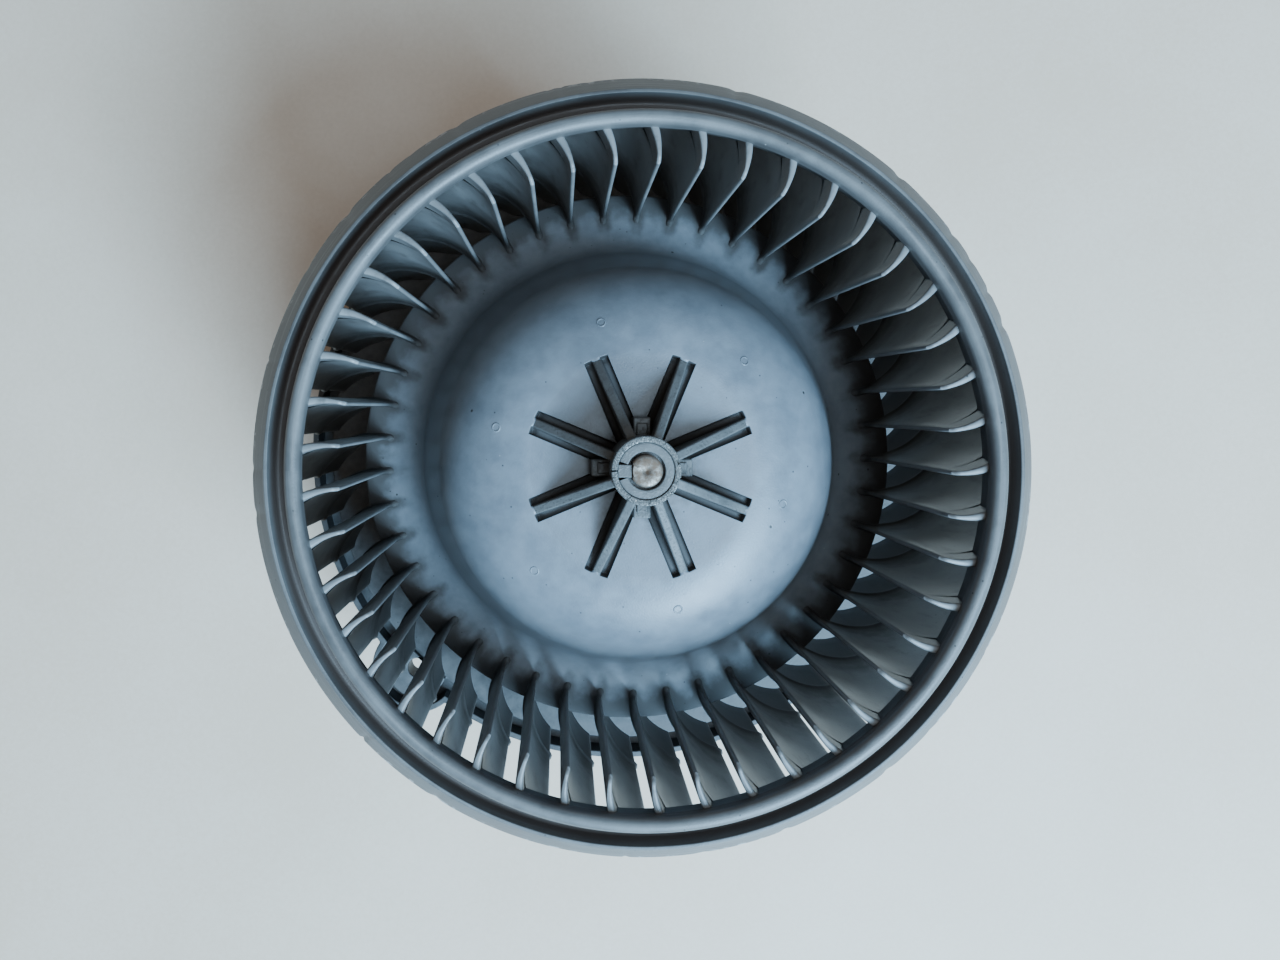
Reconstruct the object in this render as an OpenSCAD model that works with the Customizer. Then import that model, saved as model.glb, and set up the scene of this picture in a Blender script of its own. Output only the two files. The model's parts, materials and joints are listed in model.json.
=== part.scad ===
// Flanged heater blower: a forward-curved wheel on a direct-current motor.
// The origin is the centre of the flange's rim face, and +Z runs up the fan axis to the inlet.

/* [Wheel] */
// Outside diameter of the inlet ring
wheel_d = 150; // [140:1:185]
// Height of the blades' lower ends above the flange face
wheel_gap = 8; // [6:0.5:14]
// Height from the blades' lower ends to the top of the inlet lip
wheel_h = 76; // [63:0.5:92]
// Number of blades
blade_count = 45; // [35:1:50]
// Thickness of a blade
blade_t = 1.3; // [1.1:0.05:1.6]
// Depth of a blade, from its inner edge to its outer edge
blade_depth = 16.3; // [13:0.1:18]
// Radius of a blade's curve
blade_curve_r = 16; // [14.5:0.5:20]
// Angle by which a blade's inner edge leans back from the radius
blade_lean = 3; // [0:1:8]
// Place of the first blade's inner edge round the axis
blade_phase = -0.5; // [-4:0.5:4]
// How far the blades' outer edges stand inside the ring
blade_setback = 1.5; // [1:0.1:3]
// Height of the inlet lip above the ring's outer edge
lip_h = 10; // [8:0.5:14]
// Thickness of the inlet lip
lip_t = 3; // [2:0.1:4]
// Distance from the ring's outside to the inside of the lip
lip_inset = 11.4; // [10.5:0.1:14]
// Thickness of the ring under its outer edge
ring_t = 3.3; // [2.5:0.1:5]
// Wall of the ring under its groove
ring_wall = 1.6; // [1.2:0.1:2.4]
// Wall that carries the lip
lip_wall = 1.2; // [1:0.1:1.8]
// Height of the groove's floor above the ring's outer edge
groove_lift = 1.5; // [0:0.1:3]
// How far the blade tops stand below the lip's top
cap_drop = 2; // [1:0.1:4]

/* [Dome and hub] */
// Drop from the ring's outer edge to the flat disc round the hub
disc_drop = 4.6; // [2:0.1:8]
// Radius of the flat disc round the hub
disc_r = 21.7; // [19:0.1:25]
// Wall of the dome
dome_t = 2.2; // [1.8:0.1:3]
// How far the dome's skirt reaches under the blades
skirt_reach = 4.8; // [3:0.1:7]
// Height of the dome's edge above the blades' lower ends
skirt_lift = 19.2; // [14:0.1:24]
// Outside radius of the hub
hub_r = 6.45; // [6:0.05:8]
// How far the hub reaches below the disc
hub_below = 13; // [8:0.5:16]
// Height of the clamp ring on the hub
clamp_h = 3.5; // [3:0.1:5]
// Wall of the clamp ring
clamp_t = 1.2; // [0.8:0.1:1.6]
// Number of gussets round the hub
gusset_count = 8; // [6:1:10]
// Thickness of a gusset
gusset_t = 1.8; // [1.5:0.1:2.5]
// Width of the relief groove beside each gusset
relief_w = 1.6; // [1:0.1:2]
// Depth of the relief groove beside each gusset
relief_depth = 1.2; // [0.8:0.1:1.4]
// How far the relief grooves run out past the disc
relief_reach = 1.2; // [0.4:0.1:2]

/* [Flange] */
// How far the flange stands out past the wheel
flange_margin = 6.7; // [4:0.1:10]
// Height of the flange's rim wall
rim_h = 9; // [8.5:0.5:12]
// Thickness of the rim wall and of the wall inside the groove
rim_t = 1.6; // [1.2:0.1:2]
// Width of the groove inside the rim
groove_w = 3.3; // [2.5:0.1:5]
// Depth of the groove inside the rim
groove_depth = 6.2; // [4:0.1:6.4]
// Number of screw ears
ear_count = 3; // [2:1:4]
// Angle of the first screw ear
ear_angle = 107; // [100:1:112]
// Outside radius of a screw ear
ear_r = 12; // [10:0.5:14]
// Radius of the solid boss in a screw ear
ear_boss_r = 8; // [6:0.5:8.5]
// Distance from the flange's outside in to a screw hole's centre
ear_inset = 2.7; // [0:0.1:6]
// Radius of a screw hole
screw_hole_r = 2.5; // [2:0.1:3.5]
// Thickness of the flange's plate
plate_t = 2.4; // [2:0.1:4]
// Depth of the plate's top below the rim face
plate_drop = 1.6; // [1:0.1:3]

/* [Motor] */
// Diameter of the motor shaft
shaft_d = 6; // [5:0.1:8]
// Outside diameter of the steel can
can_d = 66; // [60:0.5:80]
// Length of the steel can
can_len = 62; // [56:0.5:76]
// Wall of the steel can
can_t = 2; // [1.5:0.1:3]
// Thickness of the rubber pads between can and cup
pad_t = 2.5; // [1.5:0.1:4]
// Wall of the flange's motor cup
cup_t = 2.5; // [2:0.1:3.5]
// Height of the cup's mouth above the flange face
cup_rise = 12; // [6:0.5:16]
// Thickness of the field magnets
magnet_t = 6.4; // [5:0.1:7.5]
// Radial air gap between armature and magnets
air_gap = 0.8; // [0.5:0.1:1.2]
// Number of armature slots and commutator bars
slot_count = 12; // [10:2:14]
// Outside radius of the commutator
comm_r = 11; // [10:0.1:12]
// Length of a commutator bar
comm_len = 9; // [8:0.1:11]
// Width of a carbon brush
brush_w = 5; // [4:0.1:6]
// Height of a carbon brush
brush_h = 6.5; // [5:0.1:7]
// Length of a carbon brush
brush_len = 11; // [8:0.1:12]
// How far a brush can be pushed back into its box
brush_travel = 3; // [2:0.1:4]
// Height of the cover that closes the cup
cover_h = 11; // [8:0.5:16]

/* [Fits] */
// Radial running clearance of the shaft in a bushing
run_clear = 0.04; // [0.02:0.01:0.08]
// Clearance between pieces that slide or drop in
slip_clear = 0.15; // [0.1:0.05:0.3]
// Gap between turning and standing pieces
turn_gap = 0.4; // [0.3:0.1:1]

/* [Hidden] */
$fn = 72;
over = 1;                                   // how far cuts run past a face

// Wheel
wheel_r = wheel_d / 2;
lip_top_z = wheel_gap + wheel_h;
rim_z = lip_top_z - lip_h;
ring_under_z = rim_z - ring_t;
ridge_h = 4.7;                              // rise of the ring's sloped band
ridge_in = 4.1;                             // radial width of the sloped band
ridge_flat = 0.6;                           // width of the band's upper edge
groove_slope = 0.9;                         // draft of the ring groove's outer side
ridge_r = wheel_r - ridge_in;
groove_z = rim_z + groove_lift;
shell_z = groove_z - ring_wall;             // underside of the ring below its groove
foot_w = 2;                                 // width of the ring's lower edge
lip_in_r = wheel_r - lip_inset;
lip_out_r = lip_in_r + lip_t;
lip_low_z = lip_top_z - lip_t;
lip_cut_w = 0.8;                            // slanted cut under the lip's bead
lip_cut_h = 1.2;
blade_out_r = wheel_r - blade_setback;
blade_in_r = blade_out_r - blade_depth;
blade_top_z = lip_top_z - cap_drop;
cap_slope = 0.7;                            // how much lower a cap is where it meets the lip
bury = 0.5;                                 // how far blades reach into the ring
heel_len = 5.5;
heel_r = blade_out_r - heel_len;            // where a blade's slanted lower edge ends
heel_root = 0.5;                            // how far that edge starts inside the skirt

// Dome: a shoulder arc, a straight wall, a fillet arc and a flat skirt under the blades
shoulder_deg = 74;
fillet_r = 9;
disc_z = rim_z - disc_drop;
edge_r = blade_in_r + skirt_reach;
edge_z = wheel_gap + skirt_lift + dome_t;
root_gap = 1.5;                             // flat of the skirt inside the blades' roots
skirt_in_r = blade_in_r - root_gap;
run_r = skirt_in_r - disc_r - fillet_r * sin(shoulder_deg);
run_z = disc_z - edge_z - fillet_r * (1 - cos(shoulder_deg));
det = pow(sin(shoulder_deg), 2) - cos(shoulder_deg) * (1 - cos(shoulder_deg));
shoulder_r = (run_r * sin(shoulder_deg) - run_z * cos(shoulder_deg)) / det;

// Hub
shaft_r = shaft_d / 2;
flat_depth = shaft_r / 6;                   // depth of the shaft's flat
flat_len = 14;
hub_bottom_z = disc_z - hub_below;
clamp_z = lip_top_z - clamp_h;
neck_r = hub_r - clamp_t;
counterbore_r = shaft_r + 0.5;
counterbore_depth = 2;
stop_short = 0.3;                           // how far gussets and neck end under the clamp ring's faces
gusset_top_z = clamp_z - stop_short;
gusset_foot = 0.7;                          // height of a gusset's outer end above the disc
lug_w = 3.4;
lug_len = 3.3;
lug_h = 5;
slit_w = 0.6;
tongue_w = 2.4;

// Motor, from the hub down
bush_r = 7.4;
bush_len = 7;
bush_wall = 1.5;
bush_fit = 0.1;                             // room round a bushing in its boss
boss_r = bush_r + bush_fit + bush_wall;
boss_h = 8;
can_r = can_d / 2;
hub_gap = 5;                                // free shaft between the hub and the can's boss
can_top_z = hub_bottom_z - hub_gap - boss_h;
can_bottom_z = can_top_z - can_len;
boss_top_z = can_top_z + boss_h;
upper_bush_z = boss_top_z - bush_wall - bush_len;
shield_t = 1.6;
shield_boss_h = 10.8;
shield_boss_z = can_bottom_z - shield_t - shield_boss_h;
button_t = 1.2;
button_gap = 0.6;                           // space between the thrust button and the bushing
lower_bush_z = shield_boss_z + bush_wall + button_t + button_gap;
shaft_bottom_z = shield_boss_z + bush_wall + button_t + turn_gap;
shaft_proud = 0.4;                          // how far the shaft stands out of the clamp ring
shaft_top_z = lip_top_z + shaft_proud;
clip_t = 0.6;
card_t = 2;
card_lift = 1;
card_z = can_bottom_z + card_lift;
card_r = can_r - can_t - slip_clear;
card_hole_gap = 2;
card_hole_r = comm_r + card_hole_gap;
box_t = 0.6;
brush_z = card_z + card_t + box_t + slip_clear;
comm_lift = 0.5;
comm_z = card_z + card_t + comm_lift;
bar_h = 2.5;                                // radial height of a commutator bar
comm_core_r = comm_r - bar_h;
hook_h = 1;
winding_gap = 1;                            // space between the bars and the windings
winding_low_z = comm_z + comm_len + winding_gap;
end_turn_h = 5.5;
insulator_t = 1.5;
core_low_z = winding_low_z + end_turn_h + insulator_t;
armature_r = can_r - can_t - magnet_t - air_gap;
winding_head = 2.6;                         // space between the windings and the can's end
winding_top_z = can_top_z - can_t - winding_head;
core_top_z = winding_top_z - end_turn_h - insulator_t;
slot_r = armature_r * 0.14;                 // round slots, as wide as the core's teeth allow
slot_at_r = armature_r * 0.69;
slot_mouth = 1.8;
shank_t = 6.5;                              // core left between the shaft and the end turns
end_turn_in_r = shaft_r + shank_t;
washer_r = 5.5;
washer_t = 0.8;
magnet_deg = 130;
magnet_over = 2;                            // how far the magnets run past the core

// Cup, cover and connector
cup_in_r = can_r + pad_t;
cup_out_r = cup_in_r + cup_t;
connector_w = 22;
connector_wall = 2;
socket_h = 10;
terminal_t = 0.8;
terminal_w = 6.3;
terminal_pitch = 9;
terminal_out = 18;                          // how far terminals, shell and socket floor stand off the cup
connector_out = 24;
socket_floor_out = 9;
terminal_x = -(cup_out_r + terminal_out);
connector_x = -(cup_out_r + connector_out);
socket_floor_x = -(cup_out_r + socket_floor_out);
terminal_high_z = -20;                      // the socket stays under the flange's ribs even with a short can
terminal_drop = 3.5;
terminal_z = min(can_bottom_z - shield_t, terminal_high_z) - terminal_drop;
socket_z = terminal_z - socket_h / 2;
cup_skirt = 2;                              // how far the cup reaches below the connector
cup_bottom_z = socket_z - connector_wall - cup_skirt;
cover_z = cup_bottom_z - cover_h;
cover_floor_t = 2.5;
foot_in_r = 30;
foot_rise = 1;
seat_in = 7;
seat_r = can_r - seat_in;
seat_t = 2.5;
wire_r = 0.9;
wire_in = 6;                                // distance of the lead wires inside the can's outside
wire_x = -(can_r - wire_in);
post_r = 4.5;
post_gap = 1.5;
post_at_r = cup_out_r + post_r + post_gap;
post_count = 3;
cover_lug_t = 4.5;
screw_r = 1.9;
screw_len = 15;
screw_head_r = 3.6;
screw_head_h = 2.6;

// Flange
flange_r = wheel_r + flange_margin;
rib_root_z = -plate_drop - plate_t * 0.4;   // how high ribs, posts and socket reach into the plate
post_root_z = -plate_drop - plate_t * 0.6;
socket_root_z = -plate_drop - plate_t * 0.8;
ear_at_r = flange_r - ear_inset;
plate_out_r = flange_r - rim_t - groove_w;
groove_floor_t = 1.8;
rib_count = 12;
rib_t = 1.6;
rib_h = 6;

// Points along the dome, set in by a distance from its outside
function dome_shoulder(inset) = [
    for (a = [0 : shoulder_deg / 8 : shoulder_deg + 0.01])
        [disc_r + (shoulder_r - inset) * sin(a),
         disc_z - shoulder_r + (shoulder_r - inset) * cos(a)]
];
function dome_fillet(inset) = [
    for (a = [shoulder_deg : -shoulder_deg / 5 : -0.01])
        [skirt_in_r - (fillet_r + inset) * sin(a), edge_z + fillet_r - (fillet_r + inset) * cos(a)]
];
function dome_curve(inset) = concat(
    dome_shoulder(inset),
    dome_fillet(inset),
    [[edge_r, edge_z - inset]]
);
function reversed(list) = [for (i = [len(list) - 1 : -1 : 0]) list[i]];

module tube(r_out, r_in, h) {
    linear_extrude(h) difference() {
        circle(r_out);
        circle(r_in);
    }
}

module around(count, start = 0) {
    for (i = [0 : count - 1]) rotate(start + i * 360 / count) children();
}

module inlet_ring() {
    round_r = lip_t / 2;
    lip_round = [
        for (a = [0 : 30 : 180])
            [lip_in_r + round_r + round_r * cos(a), lip_top_z - round_r + round_r * sin(a)]
    ];
    rotate_extrude() polygon(concat(
        [
            [lip_in_r, lip_low_z],
            [lip_in_r + lip_cut_w, lip_low_z - lip_cut_h],
            [lip_out_r - lip_wall, shell_z],
            [ridge_r + ridge_flat, shell_z],
            [wheel_r - foot_w, ring_under_z],
            [wheel_r, ring_under_z],
            [wheel_r, rim_z],
            [ridge_r + ridge_flat, rim_z + ridge_h],
            [ridge_r, rim_z + ridge_h],
            [ridge_r - groove_slope, groove_z],
            [lip_out_r, groove_z]
        ],
        lip_round
    ));
}

module blade_plan() {
    centre = [blade_in_r + blade_curve_r * sin(blade_lean), blade_curve_r * cos(blade_lean)];
    limit_deg = atan2(centre[1], centre[0]);
    reach = 2 * wheel_r;
    intersection() {
        translate(centre) difference() {
            circle(blade_curve_r + blade_t / 2);
            circle(blade_curve_r - blade_t / 2);
        }
        difference() {
            circle(blade_out_r);
            circle(blade_in_r);
        }
        polygon([[0, 0], [reach, -reach / 4], [reach * cos(limit_deg), reach * sin(limit_deg)]]);
    }
}

// Side view of a blade: down its inner edge to the skirt, out to the lower end of the heel,
// up to the ring's foot and in along the ring's underside
module blade_side() {
    inner_r = blade_in_r - blade_t;
    skirt_z = edge_z - dome_t / 2;
    rotate([90, 0, 0]) translate([0, 0, -blade_curve_r]) linear_extrude(2 * blade_curve_r)
        polygon([
            [inner_r, blade_top_z],
            [inner_r, skirt_z],
            [edge_r - heel_root, skirt_z],
            [heel_r, wheel_gap],
            [blade_out_r + over, wheel_gap],
            [blade_out_r + over, ring_under_z + bury],
            [wheel_r - foot_w + bury, ring_under_z + bury],
            [ridge_r + ridge_flat + bury / 2, shell_z + bury],
            [lip_out_r - lip_wall + bury, shell_z + bury],
            [lip_in_r + lip_cut_w + bury, lip_low_z - lip_cut_h + bury],
            [lip_in_r + bury, blade_top_z - cap_slope],
            [blade_in_r, blade_top_z]
        ]);
}

module blades() {
    around(blade_count, blade_phase) intersection() {
        translate([0, 0, wheel_gap - over]) linear_extrude(wheel_h + over) blade_plan();
        blade_side();
    }
}

module dome() {
    rotate_extrude() polygon(concat(
        [[0, disc_z]],
        dome_curve(0),
        reversed(dome_curve(dome_t)),
        [[0, disc_z - dome_t]]
    ));
}

// One gusset in side view, from the hub out to the edge of the disc
module gusset() {
    rotate([90, 0, 0]) translate([0, 0, -gusset_t / 2]) linear_extrude(gusset_t) polygon([
        [neck_r, disc_z - dome_t / 2],
        [disc_r + over, disc_z - dome_t / 2],
        [disc_r + over, disc_z],
        [disc_r, disc_z + gusset_foot],
        [hub_r, gusset_top_z],
        [neck_r, gusset_top_z]
    ]);
}

module gusset_relief() {
    end_r = disc_r + relief_reach;
    for (side = [-1, 1])
        translate([0, side * (gusset_t + relief_w) / 2 + relief_w / 2, 0])
            rotate([90, 0, 0]) linear_extrude(relief_w) polygon([
                [hub_r + over, disc_z + over],
                [end_r + over, disc_z + over],
                [end_r - relief_depth, disc_z - relief_depth],
                [hub_r + over, disc_z - relief_depth]
            ]);
}

module shaft_bore(extra = 0) {
    difference() {
        circle(shaft_r + extra);
        translate([-shaft_r - over - flat_depth, -shaft_r - over])
            square([2 * flat_depth + over, 2 * (shaft_r + over)]);
    }
}

module fan_wheel() {
    color([0.27, 0.28, 0.29]) difference() {
        union() {
            inlet_ring();
            blades();
            difference() {
                dome();
                around(gusset_count, 180 / gusset_count) gusset_relief();
            }
            around(gusset_count, 180 / gusset_count) gusset();
            around(4) translate([hub_r - over, -lug_w / 2, disc_z - over])
                cube([lug_len + over, lug_w, lug_h + over]);
            translate([0, 0, hub_bottom_z]) cylinder(r = hub_r, h = clamp_z - hub_bottom_z);
            translate([0, 0, clamp_z - over]) cylinder(r = neck_r, h = clamp_h + over - stop_short);
        }
        translate([0, 0, hub_bottom_z - over])
            cylinder(r = shaft_r, h = shaft_top_z - flat_len - hub_bottom_z + over);
        translate([0, 0, shaft_top_z - flat_len - over / 2])
            linear_extrude(flat_len + 2 * over) shaft_bore();
        translate([0, 0, lip_top_z - counterbore_depth])
            cylinder(r = counterbore_r, h = counterbore_depth + over);
        for (side = [-1, 1])
            translate([-neck_r - over, side * (tongue_w + slit_w) / 2 - slit_w / 2,
                       lip_top_z - clamp_h])
                cube([neck_r - shaft_r / 2 + over, slit_w, clamp_h + over]);
    }
}

module hub_clamp() {
    lock_w = 0.9;
    lock_at = 1.6;
    color([0.62, 0.62, 0.60]) translate([0, 0, clamp_z]) difference() {
        tube(hub_r, neck_r, clamp_h);
        for (side = [-1, 1])
            translate([hub_r - clamp_t / 2, side * lock_at - lock_w / 2, clamp_h / 2])
                cube([clamp_t, lock_w, clamp_h]);
        translate([neck_r - over / 2, -slit_w / 4, -over])
            cube([clamp_t + over, slit_w / 2, clamp_h + 2 * over]);
    }
}

module motor_shaft() {
    chamfer = 0.5;
    body_top = shaft_top_z - flat_len;
    color([0.55, 0.45, 0.36]) difference() {
        rotate_extrude() polygon([
            [0, shaft_bottom_z],
            [shaft_r - chamfer, shaft_bottom_z],
            [shaft_r, shaft_bottom_z + chamfer],
            [shaft_r, shaft_top_z - chamfer],
            [shaft_r - chamfer, shaft_top_z],
            [0, shaft_top_z]
        ]);
        translate([-shaft_r - over, -shaft_r - over, body_top])
            cube([flat_depth + over, 2 * (shaft_r + over), flat_len + over]);
    }
}

module core_plan(r_out) {
    difference() {
        circle(r_out);
        circle(shaft_r);
        around(slot_count) {
            translate([slot_at_r, 0]) circle(slot_r);
            translate([slot_at_r, -slot_mouth / 2]) square([armature_r, slot_mouth]);
        }
    }
}

module armature_core() {
    color([0.35, 0.36, 0.38]) translate([0, 0, core_low_z])
        linear_extrude(core_top_z - core_low_z) core_plan(armature_r);
}

module end_insulators() {
    inset = 0.5;
    color([0.15, 0.35, 0.22]) for (z = [core_low_z - insulator_t, core_top_z])
        translate([0, 0, z]) linear_extrude(insulator_t) core_plan(armature_r - inset);
}

module armature_windings() {
    swell = 0.8;
    turn_out_r = slot_at_r + slot_r + swell;
    color([0.62, 0.32, 0.14]) {
        around(slot_count) translate([slot_at_r, 0, winding_low_z + over])
            cylinder(r = slot_r, h = winding_top_z - winding_low_z - 2 * over);
        for (z = [winding_low_z, winding_top_z - end_turn_h])
            translate([0, 0, z]) tube(turn_out_r, end_turn_in_r, end_turn_h);
    }
}

module commutator_hub() {
    color([0.30, 0.14, 0.10]) translate([0, 0, comm_z]) tube(comm_core_r, shaft_r, comm_len);
}

module commutator_bars() {
    split = 0.5;
    hook_out = 1.2;
    color([0.72, 0.42, 0.22]) translate([0, 0, comm_z]) difference() {
        union() {
            tube(comm_r, comm_core_r, comm_len);
            translate([0, 0, comm_len - hook_h]) tube(comm_r + hook_out, comm_core_r, hook_h);
        }
        around(slot_count, 180 / slot_count)
            translate([comm_core_r - over, -split / 2, -over])
                cube([comm_r, split, comm_len + 2 * over]);
    }
}

module thrust_washers() {
    upper_z = upper_bush_z - clip_t - turn_gap - washer_t;
    lower_z = lower_bush_z + bush_len + clip_t + turn_gap;
    color([0.80, 0.78, 0.70]) for (z = [upper_z, lower_z])
        translate([0, 0, z]) tube(washer_r, shaft_r, washer_t);
}

module flange_outline(inset) {
    circle(flange_r - inset);
    around(ear_count, ear_angle) translate([ear_at_r, 0]) circle(ear_r - inset);
}

module ear_circles(r) {
    around(ear_count, ear_angle) translate([ear_at_r, 0]) circle(r);
}

module flange_rim() {
    translate([0, 0, -rim_h]) linear_extrude(rim_h) difference() {
        flange_outline(0);
        flange_outline(rim_t);
    }
    translate([0, 0, -groove_depth - groove_floor_t]) linear_extrude(groove_floor_t)
        difference() {
            flange_outline(rim_t / 2);
            circle(plate_out_r - rim_t);
        }
    translate([0, 0, -groove_depth - groove_floor_t])
        tube(plate_out_r, plate_out_r - rim_t, groove_depth + groove_floor_t - plate_drop);
    translate([0, 0, -rim_h]) linear_extrude(rim_h) difference() {
        ear_circles(ear_boss_r);
        circle(plate_out_r - rim_t / 4);
    }
}

module flange_rib() {
    rotate([90, 0, 0]) translate([0, 0, -rib_t / 2]) linear_extrude(rib_t) polygon([
        [cup_out_r - cup_t / 2, rib_root_z],
        [plate_out_r - rim_t * 0.7, rib_root_z],
        [plate_out_r - rim_t * 0.7, -plate_drop - plate_t - rib_h / 2],
        [cup_out_r - cup_t / 2, -plate_drop - plate_t - rib_h]
    ]);
}

module connector_shell() {
    bottom_z = socket_z - connector_wall;
    translate([connector_x, -connector_w / 2, bottom_z])
        cube([-connector_x - cup_out_r + cup_t, connector_w, socket_root_z - bottom_z]);
}

module connector_cuts() {
    cavity_w = connector_w - 2 * connector_wall;
    translate([connector_x - over, -cavity_w / 2, socket_z])
        cube([socket_floor_x - connector_x + over, cavity_w, socket_h]);
    for (side = [-1, 1])
        translate([socket_floor_x - over, side * terminal_pitch / 2 - terminal_w / 2, terminal_z])
            cube([-socket_floor_x, terminal_w, terminal_t]);
}

module flange_posts() {
    web = 2.5;
    around(post_count) translate([post_at_r, 0, 0]) {
        translate([0, 0, cup_bottom_z])
            cylinder(r = post_r, h = post_root_z - cup_bottom_z);
        translate([-post_r - web, -rib_t / 2, cup_bottom_z + over])
            cube([post_r + web, rib_t, rib_root_z - cup_bottom_z - over]);
    }
}

module motor_flange() {
    collar = 5;
    collar_rise = 7;
    bead = 1.1;
    color([0.10, 0.10, 0.105]) difference() {
        union() {
            flange_rim();
            translate([0, 0, -plate_drop - plate_t])
                tube(plate_out_r - rim_t / 2, cup_in_r, plate_t);
            translate([0, 0, cup_bottom_z]) tube(cup_out_r, cup_in_r, cup_rise - cup_bottom_z);
            translate([0, 0, cup_rise - bead]) tube(cup_in_r + cup_t / 2, can_r + turn_gap, bead);
            rotate_extrude() polygon([
                [cup_out_r - cup_t / 3, -plate_drop - plate_t / 5],
                [cup_out_r + collar, -plate_drop - plate_t / 5],
                [cup_out_r + collar, -plate_drop],
                [cup_out_r, -plate_drop + collar_rise],
                [cup_out_r - cup_t / 3, -plate_drop + collar_rise]
            ]);
            around(rib_count, 180 / rib_count) flange_rib();
            connector_shell();
            flange_posts();
        }
        connector_cuts();
        around(ear_count, ear_angle) translate([ear_at_r, 0, -rim_h - over])
            cylinder(r = screw_hole_r, h = rim_h + 2 * over);
        around(post_count) translate([post_at_r, 0, cup_bottom_z - over])
            cylinder(r = screw_r, h = screw_len + over);
    }
}

module motor_can() {
    nose_r = shaft_r + 1;
    color([0.66, 0.67, 0.66]) rotate_extrude() polygon([
        [can_r, can_bottom_z],
        [can_r, can_top_z - can_t],
        [can_r - can_t, can_top_z],
        [boss_r, can_top_z],
        [boss_r, boss_top_z - bush_wall],
        [boss_r - bush_wall, boss_top_z],
        [nose_r, boss_top_z],
        [nose_r, boss_top_z - bush_wall],
        [bush_r, boss_top_z - bush_wall],
        [bush_r, can_top_z - can_t],
        [can_r - can_t, can_top_z - can_t],
        [can_r - can_t, can_bottom_z]
    ]);
}

module field_magnets() {
    magnet_r = can_r - can_t;
    half = magnet_deg / 2;
    reach = 2 * can_r;
    color([0.20, 0.20, 0.21]) for (turn = [0, 180]) rotate(turn)
        translate([0, 0, core_low_z - magnet_over])
            linear_extrude(core_top_z - core_low_z + 2 * magnet_over) intersection() {
                difference() {
                    circle(magnet_r);
                    circle(magnet_r - magnet_t);
                }
                polygon([
                    [0, 0],
                    [reach * cos(half), -reach * sin(half)],
                    [reach, -reach],
                    [reach, reach],
                    [reach * cos(half), reach * sin(half)]
                ]);
            }
}

// Wire clips: two legs that press the magnet arcs apart, joined across the top
module magnet_springs() {
    spring_r = 0.8;
    at_r = can_r - can_t - magnet_t / 2;
    lean = 90 - magnet_deg / 2 - asin(spring_r / at_r);
    leg_x = at_r * sin(lean);
    leg_y = at_r * cos(lean);
    top_z = core_top_z;
    color([0.55, 0.56, 0.58]) for (turn = [0, 180]) rotate(turn) {
        for (side = [-1, 1]) translate([side * leg_x, leg_y, core_low_z])
            cylinder(r = spring_r, h = top_z - core_low_z, $fn = 24);
        translate([-leg_x, leg_y, top_z]) rotate([0, 90, 0])
            cylinder(r = spring_r, h = 2 * leg_x, $fn = 24);
    }
}

module bushing(z) {
    crown = 1.6;
    color([0.60, 0.48, 0.28]) rotate_extrude() polygon([
        [shaft_r + run_clear, z],
        [bush_r - crown, z],
        [bush_r, z + crown],
        [bush_r, z + bush_len - crown],
        [bush_r - crown, z + bush_len],
        [shaft_r + run_clear, z + bush_len]
    ]);
}

module upper_bushing() {
    bushing(upper_bush_z);
}

module lower_bushing() {
    bushing(lower_bush_z);
}

module bush_clip(z) {
    slot_w = 0.8;
    in_r = shaft_r + 1;
    slot_in_r = shaft_r + 2;
    edge_w = 0.4;
    color([0.50, 0.52, 0.55]) translate([0, 0, z]) linear_extrude(clip_t) difference() {
        circle(bush_r);
        circle(in_r);
        around(6) translate([slot_in_r, -slot_w / 2])
            square([bush_r - edge_w - slot_in_r, slot_w]);
    }
}

module upper_bush_clip() {
    bush_clip(upper_bush_z - clip_t);
}

module lower_bush_clip() {
    bush_clip(lower_bush_z + bush_len);
}

module end_shield() {
    vent_r = 2.2;
    wire_clear = 0.6;
    color([0.66, 0.67, 0.66]) difference() {
        rotate_extrude() polygon([
            [0, shield_boss_z],
            [boss_r - bush_wall, shield_boss_z],
            [boss_r, shield_boss_z + bush_wall],
            [boss_r, can_bottom_z - shield_t],
            [can_r, can_bottom_z - shield_t],
            [can_r, can_bottom_z],
            [bush_r, can_bottom_z],
            [bush_r, shield_boss_z + bush_wall],
            [0, shield_boss_z + bush_wall]
        ]);
        for (side = [-1, 1])
            translate([wire_x, side * terminal_pitch / 2, can_bottom_z - shield_t - over])
                cylinder(r = wire_r + wire_clear, h = shield_t + 2 * over);
        around(4, 45) translate([(boss_r + seat_r - seat_t) / 2, 0, can_bottom_z - shield_t - over])
            cylinder(r = vent_r, h = shield_t + 2 * over);
    }
}

module thrust_button() {
    inset = 2;
    color([0.85, 0.84, 0.78]) translate([0, 0, shield_boss_z + bush_wall])
        cylinder(r = bush_r - inset, h = button_t);
}

module brush_card() {
    color([0.28, 0.20, 0.13]) difference() {
        translate([0, 0, card_z]) tube(card_r, card_hole_r, card_t);
        for (side = [-1, 1])
            translate([wire_x, side * terminal_pitch / 2, card_z - over])
                cylinder(r = wire_r, h = card_t + 2 * over);
    }
}

brush_gap = 0.1;
box_gap = 2.2;
spring_room = 2.4;                          // room for the pressed spring behind a pushed-back brush
brush_start = comm_r + brush_gap;           // radius of a brush's worn face
box_start = comm_r + box_gap;
box_end = brush_start + brush_len + brush_travel + spring_room;

module brush_box() {
    inner_w = brush_w + 2 * slip_clear;
    inner_h = brush_h + 2 * slip_clear;
    difference() {
        translate([-inner_w / 2 - box_t, box_start, card_z + card_t])
            cube([inner_w + 2 * box_t, box_end - box_start, inner_h + 2 * box_t]);
        translate([-inner_w / 2, box_start - over, card_z + card_t + box_t])
            cube([inner_w, box_end - box_start - box_t + over, inner_h]);
    }
}

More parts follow.
